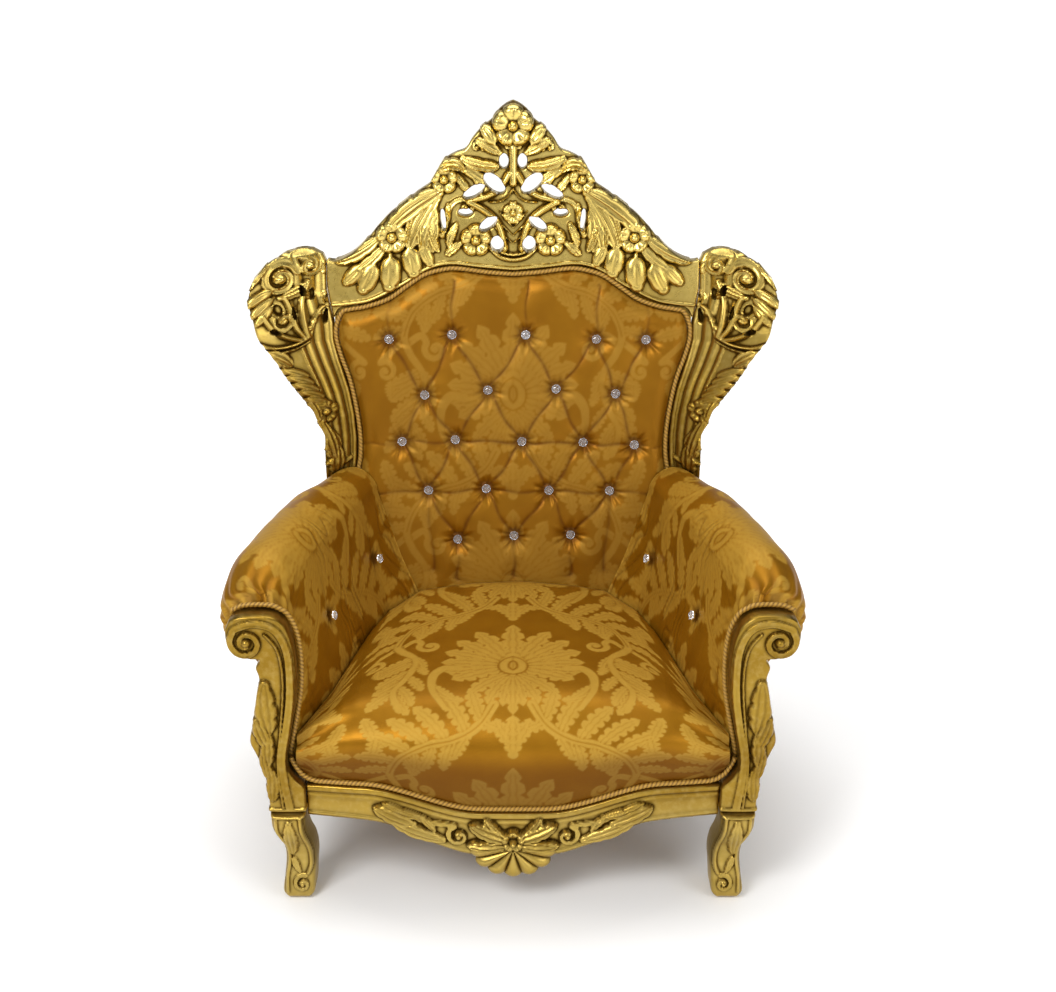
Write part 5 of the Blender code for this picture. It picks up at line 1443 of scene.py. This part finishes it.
class SidePanelsOperator(bpy.types.Operator):
    """The stretched damask on the outside of the arms"""

    bl_idname = "throne.side_panels"
    bl_label = "Side panels"

    def execute(self, context):
        share, rise = np.meshgrid(np.linspace(0, 1, 150), np.linspace(0, 1, 84), indexing="ij")
        y0 = SUPPORT_BACK + GAP
        low = RAIL_TOP + GAP
        y_drawn = y0 + share * (BACK_SET - y0)
        _, centre, radius = roll_at(y_drawn)
        top = centre - radius
        z = low + rise * (top - low)
        rear = BACK_SET + (z - SEAT_TOP) * BACK_RAKE + BOARD - BOARD_PROUD
        y = y0 + share * (rear - y0)
        inside = arm_outside(y_drawn) + GAP
        # Puffed out from a flat board: 4 mm + 6 mm sqrt(1 - (1 - e)^2), with e the nearness to its middle
        edge = np.minimum.reduce([share, 1 - share, rise * 0.55, (1 - rise) * 0.55]) / 0.06
        puff = 0.004 + 0.006 * np.sqrt(1 - (1 - np.clip(edge, 0, 1)) ** 2)
        outer = np.stack([inside + puff, y + SHIFT, z], axis=-1)
        inner = np.stack([inside, y + SHIFT, z], axis=-1)
        figure = cloth_figure().at(y + 0.12, z - 0.05)
        piece = two_skins("side_panel_cloth_right", outer, inner, damask_finish(),
                          {"figure": figure * 0.8, "hollow": np.zeros(z.shape)})
        settle_pair(piece, "damask", "side_panel")
        return {"FINISHED"}


def two_skins(name, outer, inner, finish, fields):
    """Two grids of as many points joined round their rims into one closed sheet."""
    rows, columns = outer.shape[:2]
    index = np.arange(rows * columns).reshape(rows, columns)
    total = rows * columns
    cells = quads(index)
    loop = np.concatenate([index[:, 0], index[-1, 1:], index[::-1, -1][1:], index[0, ::-1][1:-1]])
    nxt = np.roll(loop, -1)
    walls = np.stack([nxt, loop, loop + total, nxt + total], axis=1)
    faces = np.concatenate([cells, cells[:, ::-1] + total, walls])
    points = np.concatenate([outer.reshape(-1, 3), inner.reshape(-1, 3)])
    values = {label: np.concatenate([field.ravel(), field.ravel()]) for label, field in fields.items()}
    return closed_piece(name, points, faces, finish, values)


class BackCoverOperator(bpy.types.Operator):
    """The plain damask behind the back"""

    bl_idname = "throne.back_cover"
    bl_label = "Back cover"

    def execute(self, context):
        low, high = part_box("back_cover")
        half = high.x - 0.0005
        share, rise = np.meshgrid(np.linspace(-1, 1, 200), np.linspace(0, 1, 250), indexing="ij")
        x = share * half
        top = np.interp(np.abs(x), [0.0, 0.05, 0.14, 0.18, 0.24, 0.30, half],
                        [1.0947, 1.096, 1.1065, 1.095, 1.060, 1.029, 1.022])
        z = low.z + rise * (top - low.z)
        front = back_y(z) + BOARD - BOARD_PROUD + GAP
        # Puffed out by 14 mm + 10 mm sqrt(1 - (1 - e)^2), with e the nearness to the middle
        edge = np.minimum((1 - np.abs(share)) / 0.08, np.minimum(rise, 1 - rise) / 0.05)
        puff = 0.014 + 0.010 * np.sqrt(1 - (1 - np.clip(edge, 0, 1)) ** 2)
        outer = np.stack([x, front + puff, z], axis=-1)
        inner = np.stack([x, front, z], axis=-1)
        figure = cloth_figure().at(x, z + 0.13)
        piece = two_skins("back_cover_cloth", outer, inner, damask_finish(),
                          {"figure": figure, "hollow": np.zeros(z.shape)})
        settle(piece, "damask", "back_cover")
        return {"FINISHED"}


def seat_profile(x):
    """The seat's section at a distance from the middle, from the cord up over the front to the crease.

    Its points stand at shares of the height and the depth, raised by a crown of 12 mm (1 - s^2) over the
    whole seat and by an arch of 18 mm (1 - (x / 0.25)^2) at the rear.
    """
    line = np.array(CREASE[::-1])
    rear = np.interp(x, line[:, 0], line[:, 1])
    edge = np.interp(x, line[:, 0], line[:, 2])
    rise = np.array(WELT_RISE)
    low = float(rail_top(x)) + 0.001
    if x > rise[0, 0]:
        low = float(np.interp(x, rise[:, 0], rise[:, 1])) - 0.004
    face = float(front_y(x)) - SHIFT + 2 * WELT_RADIUS + 0.001
    crown = 0.012 * (1 - (x / RAIL_HALF) ** 2)
    rear = min(rear, BACK_SET - PAD_PROUD - 0.008)
    deep = max(rear - face, 0.012)
    arch = 0.018 * max(1 - (x / 0.25) ** 2, 0.0)
    tall = edge - low
    return np.array([
        (x, face, low), (x, face - 0.004, low + 2 * WELT_RADIUS), (x, face - 0.018, low + tall * 0.40),
        (x, face - 0.015, low + tall * 0.68), (x, face + 0.045 * deep, edge - 0.018),
        (x, face + 0.14 * deep, edge - 0.002 + crown * 0.5), (x, face + 0.34 * deep, edge + crown),
        (x, face + 0.65 * deep, edge + crown + arch * 0.3),
        (x, face + 0.90 * deep, edge + crown * 0.8 + arch * 0.7), (x, face + deep, edge - 0.006 + arch),
    ])


class SeatOperator(bpy.types.Operator):
    """The crowned damask seat, bulging over the front rail"""

    bl_idname = "throne.seat"
    bl_label = "Seat"

    def execute(self, context):
        step = context.scene.throne_damask.seat_grid
        half_width = CREASE[0][0]
        # Sections at stations across, joined by straight lines between them, with smooth lumps of 1 mm
        stations = np.linspace(0, half_width, 58)
        rough = np.array([through(seat_profile(x), 90) for x in stations])
        run = lengths(rough[0])
        rough = np.concatenate([rough[:0:-1] * (-1, 1, 1), rough])
        across = np.linspace(-half_width, half_width, int(2 * half_width / step))
        along = np.linspace(0, run[-1], int(run[-1] / step))
        places = rough[:, 0, 0]
        profile = np.stack([[np.interp(along, run, line[:, k]) for k in (1, 2)] for line in rough])
        skin = np.zeros((len(across), len(along), 3))
        skin[..., 0] = across[:, None]
        for k in (0, 1):
            for j in range(len(along)):
                skin[:, j, k + 1] = np.interp(across, places, profile[:, k, j])
        lumps = 0.0012 * unevenness(skin.shape[:2], 14, 31)
        skin[..., 2] += lumps
        skin[..., 1] += SHIFT
        middle_run = run[-1] - along[None, :]
        from_crease = 4 * FIGURE_REPEAT + 0.535 - middle_run * np.ones((len(across), 1))
        figure = cloth_figure().at(across[:, None], from_crease)
        # Painted shade at the front cord, in the rear crease, down the front face and towards both ends
        hollow = 0.60 * np.exp(-((along / 0.006) ** 2))[None, :] + 0.7 * np.exp(-((middle_run / 0.014) ** 2))
        hollow = hollow + 0.80 * (1 - ease(along, 0.085, 0.145))[None, :]
        side = RAIL_HALF - 0.008 - np.abs(across)
        hollow = np.clip(hollow + 0.3 * np.exp(-np.clip(side, 0, None) / 0.02)[:, None], 0, 1)
        rows, columns = figure.shape
        index = np.arange(rows * columns).reshape(rows, columns)
        front, rear = index[:, 0], index[:, -1]
        under = rows * columns + np.arange(rows)
        low_rear = np.stack([skin[:, -1, 0], skin[:, -1, 1], skin[:, 0, 2]], axis=1)
        back = np.stack([rear[:-1], rear[1:], under[1:], under[:-1]], axis=-1)
        bottom = np.stack([under[:-1], under[1:], front[1:], front[:-1]], axis=-1)
        ends = [index[0].tolist() + [int(under[0])], [int(under[-1])] + index[-1, ::-1].tolist()]
        faces = quads(index).tolist() + back.tolist() + bottom.tolist() + ends
        points = np.concatenate([skin.reshape(-1, 3), low_rear])
        fields = {"figure": np.append(figure.ravel(), np.zeros(rows)),
                  "hollow": np.append(hollow.ravel(), np.zeros(rows))}
        piece = closed_piece("seat_pad_cloth", points, faces, damask_finish(), fields, 60.0)
        settle(piece, "damask", "seat_pad")
        return {"FINISHED"}


def twisted_cord(name, path, radius, nodes):
    """A two-ply cord: r = radius (0.84 + 0.16 |sin(turn - 2 pi s / PLY_TURN)|) round a smooth path."""
    step = 0.0016
    line = evened(path, step)
    along = unit(np.gradient(line, axis=0))
    side = unit(np.cross(along, (0.0, 1.0, 0.0)))
    lift = np.cross(side, along)
    turn = np.linspace(0, 2 * math.pi, 12, endpoint=False)[None, :]
    run = step * np.arange(len(line))[:, None]
    ply = np.abs(np.sin(turn - run * 2 * math.pi / PLY_TURN))
    reach = radius * (0.84 + 0.16 * ply)
    rings = line[:, None, :] + reach[..., None] * (
        np.cos(turn)[..., None] * side[:, None, :] + np.sin(turn)[..., None] * lift[:, None, :])
    fields = {"ply": np.append(ply.ravel(), (0.5, 0.5))}
    settle(closed_piece(name, *capped(rings), cord_finish(), fields, 80.0), "braid", *nodes)


def moved_out(line, distance):
    """A flat line moved to its left by the distance."""
    along = unit(np.gradient(line, axis=0))
    return line + np.stack([-along[:, 1], along[:, 0]], axis=1) * distance


class WeltsOperator(bpy.types.Operator):
    """The twisted cords along the panel, the seat and the arms"""

    bl_idname = "throne.welts"
    bl_label = "Corded edges"

    def execute(self, context):
        half = through(PANEL_EDGE[:19], 240)
        half = moved_out(half, WELT_RADIUS + GAP)
        half[0, 0] = 0.0
        whole = both_sides(half)
        path = on_panel(whole[:, 0], whole[:, 1], np.full(len(whole), 0.003))
        twisted_cord("back_welt_cord", path, WELT_RADIUS, ("back_welt",))
        x = np.linspace(0.0, 0.355, 150)
        half = np.concatenate([np.stack([x, rail_top(x) + WELT_RADIUS + 0.001], axis=1), WELT_RISE])
        half = evened(half, 0.004)
        whole = both_sides(half)
        path = np.stack([whole[:, 0], front_y(whole[:, 0]) + WELT_RADIUS, whole[:, 1]], axis=1)
        twisted_cord("seat_welt_cord", path, WELT_RADIUS, ("seat_welt",))
        line = through(ARM_WELT, 160)
        depth = SUPPORT_BACK - WELT_RADIUS - GAP + SHIFT
        for side, label in ((1, "right"), (-1, "left")):
            path = np.stack([side * line[:, 0], np.full(len(line), depth), line[:, 1]], axis=1)
            twisted_cord(f"arm_welt_cord_{label}", path, WELT_RADIUS, (f"arm_welt_{label}",))
        return {"FINISHED"}


def crystal_parts():
    """A faceted stone and its rim, standing up from 0, both turned through rings of (radius, height)."""
    sides = 10
    turn = np.linspace(0, 2 * math.pi, sides, endpoint=False)
    half_turn = turn + math.pi / sides
    levels = ((0.0052, 0.0016, turn), (0.0088, 0.0046, half_turn), (0.0086, 0.0058, turn),
              (0.0062, 0.0082, half_turn), (0.0036, 0.0090, turn))
    round_turn = np.linspace(0, 2 * math.pi, 24, endpoint=False)
    wall = ((0.0040, 0.0), (0.0098, 0.0004), (0.0105, 0.0022), (0.0104, 0.0052), (0.0096, 0.0058),
            (0.0090, 0.0050), (0.0054, 0.0013), (0.0020, 0.0011))

    def ring(radius, height, angle):
        return np.stack([radius * np.cos(angle), radius * np.sin(angle), np.full(len(angle), height)], axis=1)

    stone = [ring(*level) for level in levels]
    rim = [ring(radius, height, round_turn) for radius, height in wall]
    return np.array(stone), np.array(rim)


class CrystalsOperator(bpy.types.Operator):
    """The crystal buttons of the back and the arms, each a faceted stone in a bright rim"""

    bl_idname = "throne.crystals"
    bl_label = "Crystal buttons"

    def execute(self, context):
        glass = Finish("cut_crystal", (0.95, 0.96, 1.0), 0.02, 0.0, IOR=1.6)
        glass.shader.inputs["Transmission Weight"].default_value = 0.85
        glass.feed(Roughness=glass.ramp(glass.noise(500.0), (0.3, 0.01), (0.8, 0.06)))
        foil = Finish("bright_rim", (0.93, 0.94, 0.97), 0.14, 1.0)
        foil.feed(Roughness=foil.ramp(foil.noise(300.0), (0.3, 0.10), (0.8, 0.25)))
        tilt = math.atan(BACK_RAKE)
        spots = []
        for x, z in [spot for row in BUTTON_ROWS for spot in row]:
            y = float(back_y(z)) - 0.0035
            spots.append((Vector((x, y, z)), Vector((0.0, -math.cos(tilt), math.sin(tilt)))))
        names = [f"back_button_{i + 1:02d}" for i in range(len(spots))]
        self.stud("back_crystals", spots, glass.material, foil.material, names)
        for label, side in (("right", 1), ("left", -1)):
            found = []
            for y, z in ARM_BUTTONS:
                lean = arm_face(y, z + 0.02) - arm_face(y, z - 0.02)
                run = arm_face(y + 0.02, z) - arm_face(y - 0.02, z)
                inward = lean.cross(run).normalized()
                inward = -inward if inward.x > 0 else inward
                spot = arm_face(y, z) - inward * 0.0010
                found.append([Vector((side * v.x, v.y, v.z)) for v in (spot, inward)])
            names = [f"arm_button_{label}_{i + 1}" for i in range(len(found))]
            self.stud(f"arm_crystals_{label}", found, glass.material, foil.material, names)
        return {"FINISHED"}

    def stud(self, name, spots, glass, foil, nodes):
        """One piece of stones and one of rims, a stone and a rim at each spot along its direction."""
        stone, rim = crystal_parts()
        for label, rings, finish, sharp in (("stones", stone, glass, 5.0), ("rims", rim, foil, 60.0)):
            points, faces = capped(rings)
            every, cells = [], []
            for k, (spot, outward) in enumerate(spots):
                turn = np.array(outward.to_track_quat("Z", "Y").to_matrix())
                every.append(points @ turn.T + np.array(spot))
                cells += [[v + k * len(points) for v in face] for face in faces]
            piece = closed_piece(f"{name}_{label}", np.concatenate(every), cells, finish, {}, sharp)
            settle(piece, "crystal", *(nodes if label == "stones" else ()))


class StageOperator(bpy.types.Operator):
    """The pale floor, the soft lights and the photograph's camera"""

    bl_idname = "throne.stage"
    bl_label = "Stage"

    def execute(self, context):
        chosen = context.scene.throne_stage
        self.floor()
        self.light("key", (-1.6, -2.6, 3.0), (0.0, 0.0, 0.8), (1.4, 1.4), 85.0)
        self.light("fill", (2.4, -2.4, 2.0), (0.0, 0.0, 0.7), (1.8, 1.8), 30.0)
        self.light("top", (0.0, 0.6, 3.6), (0.0, 0.0, 0.6), (2.4, 1.8), 45.0)
        context.scene.world = self.surroundings()
        context.scene.view_settings.view_transform = "Standard"
        lens = bpy.data.cameras.new("photo_camera")
        camera = bpy.data.objects.new("photo_camera", lens)
        context.scene.collection.objects.link(camera)
        lens.lens = chosen.lens
        lens.sensor_width = 36.0
        lens.shift_x = 0.0142
        camera.location = (0.0, -chosen.eye_distance + SHIFT, chosen.eye_height)
        camera.rotation_euler = (math.pi / 2 - chosen.pitch, 0.0, 0.0)
        context.scene.camera = camera
        return {"FINISHED"}

    def surroundings(self):
        """A room of soft bright and dark patches, which gives the gilding something to reflect."""
        world = bpy.data.worlds.new("studio")
        world.use_nodes = True
        nodes, links = world.node_tree.nodes, world.node_tree.links
        spot = nodes.new("ShaderNodeTexCoord")
        cloud = nodes.new("ShaderNodeTexNoise")
        cloud.inputs["Scale"].default_value = 2.6
        cloud.inputs["Detail"].default_value = 1.0
        ramp = nodes.new("ShaderNodeValToRGB")
        ramp.color_ramp.elements[0].position = 0.43
        ramp.color_ramp.elements[0].color = (0.05, 0.05, 0.05, 1.0)
        ramp.color_ramp.elements[1].position = 0.56
        ramp.color_ramp.elements[1].color = (0.92, 0.92, 0.92, 1.0)
        links.new(spot.outputs["Generated"], cloud.inputs["Vector"])
        links.new(cloud.outputs[0], ramp.inputs[0])
        seen = nodes.new("ShaderNodeLightPath")
        plain = nodes.new("ShaderNodeMix")
        plain.data_type = "RGBA"
        plain.inputs[7].default_value = (0.97, 0.97, 0.97, 1.0)
        links.new(seen.outputs["Is Camera Ray"], plain.inputs[0])
        links.new(ramp.outputs[0], plain.inputs[6])
        links.new(plain.outputs[2], nodes["Background"].inputs["Color"])
        return world

    def floor(self):
        made = Finish("pale_floor", (0.90, 0.90, 0.90), 0.85)
        tone = made.mix(made.noise(2.0), (0.90, 0.90, 0.90), (0.92, 0.92, 0.92))
        spot = made.add("ShaderNodeTexCoord", {}, out="Object")
        away = made.add("ShaderNodeVectorMath", {"operation": "LENGTH"}, spot, out="Value")
        # Painted light: the floor glows, not at all near the chair and more and more further away
        glow = made.ramp(away * 0.25, (0.12, 0.0), (0.20, 0.30), (0.50, 0.66))
        made.shader.inputs["Emission Strength"].default_value = 1.0
        reach = 200.0
        points = [(-reach, -reach, 0.0), (reach, -reach, 0.0), (reach, reach, 0.0), (-reach, reach, 0.0)]
        finish = made.feed(Base_Color=tone, Emission_Color=glow)
        floor = mesh_piece("floor", points, [(0, 1, 2, 3)], finish)

    def light(self, name, place, target, size, power):
        data = bpy.data.lights.new(name, "AREA")
        data.shape = "RECTANGLE"
        data.size, data.size_y = size
        data.energy = power
        lamp = bpy.data.objects.new(name, data)
        lamp.location = place
        lamp.rotation_euler = (Vector(target) - Vector(place)).to_track_quat("-Z", "Y").to_euler()
        bpy.context.scene.collection.objects.link(lamp)


class ThronePanel(bpy.types.Panel):
    """Settings and steps of the throne's looks"""

    bl_idname = "VIEW3D_PT_throne"
    bl_label = "Throne"
    bl_space_type = "VIEW_3D"
    bl_region_type = "UI"
    bl_category = "Throne"

    def draw(self, context):
        scene = context.scene
        for group in (scene.throne_gilding, scene.throne_damask, scene.throne_stage):
            box = self.layout.box()
            for label in group.__annotations__:
                box.prop(group, label)
        for step in STEPS:
            self.layout.operator(step.bl_idname)


STEPS = (
    StageOperator, CrestOperator, WingsOperator, FrontRailOperator, ArmSupportsOperator, FrontLegsOperator,
    PlainFrameOperator, BackPadOperator, BackCoverOperator, ArmPadsOperator, SidePanelsOperator, SeatOperator,
    WeltsOperator, CrystalsOperator,
)
GROUPS = (
    (GildingSettings, "throne_gilding"), (DamaskSettings, "throne_damask"), (StageSettings, "throne_stage"),
)


def register():
    for group, label in GROUPS:
        bpy.utils.register_class(group)
        setattr(bpy.types.Scene, label, bpy.props.PointerProperty(type=group))
    for step in STEPS:
        bpy.utils.register_class(step)
    bpy.utils.register_class(ThronePanel)


def unregister():
    bpy.utils.unregister_class(ThronePanel)
    for step in reversed(STEPS):
        bpy.utils.unregister_class(step)
    for group, label in reversed(GROUPS):
        delattr(bpy.types.Scene, label)
        bpy.utils.unregister_class(group)


def main():
    register()
    for name in ("Cube", "Light", "Camera"):
        if name in bpy.data.objects:
            bpy.data.objects.remove(bpy.data.objects[name], do_unlink=True)
    for step in STEPS:
        group, label = step.bl_idname.split(".")
        getattr(getattr(bpy.ops, group), label)()


if __name__ == "__main__":
    main()
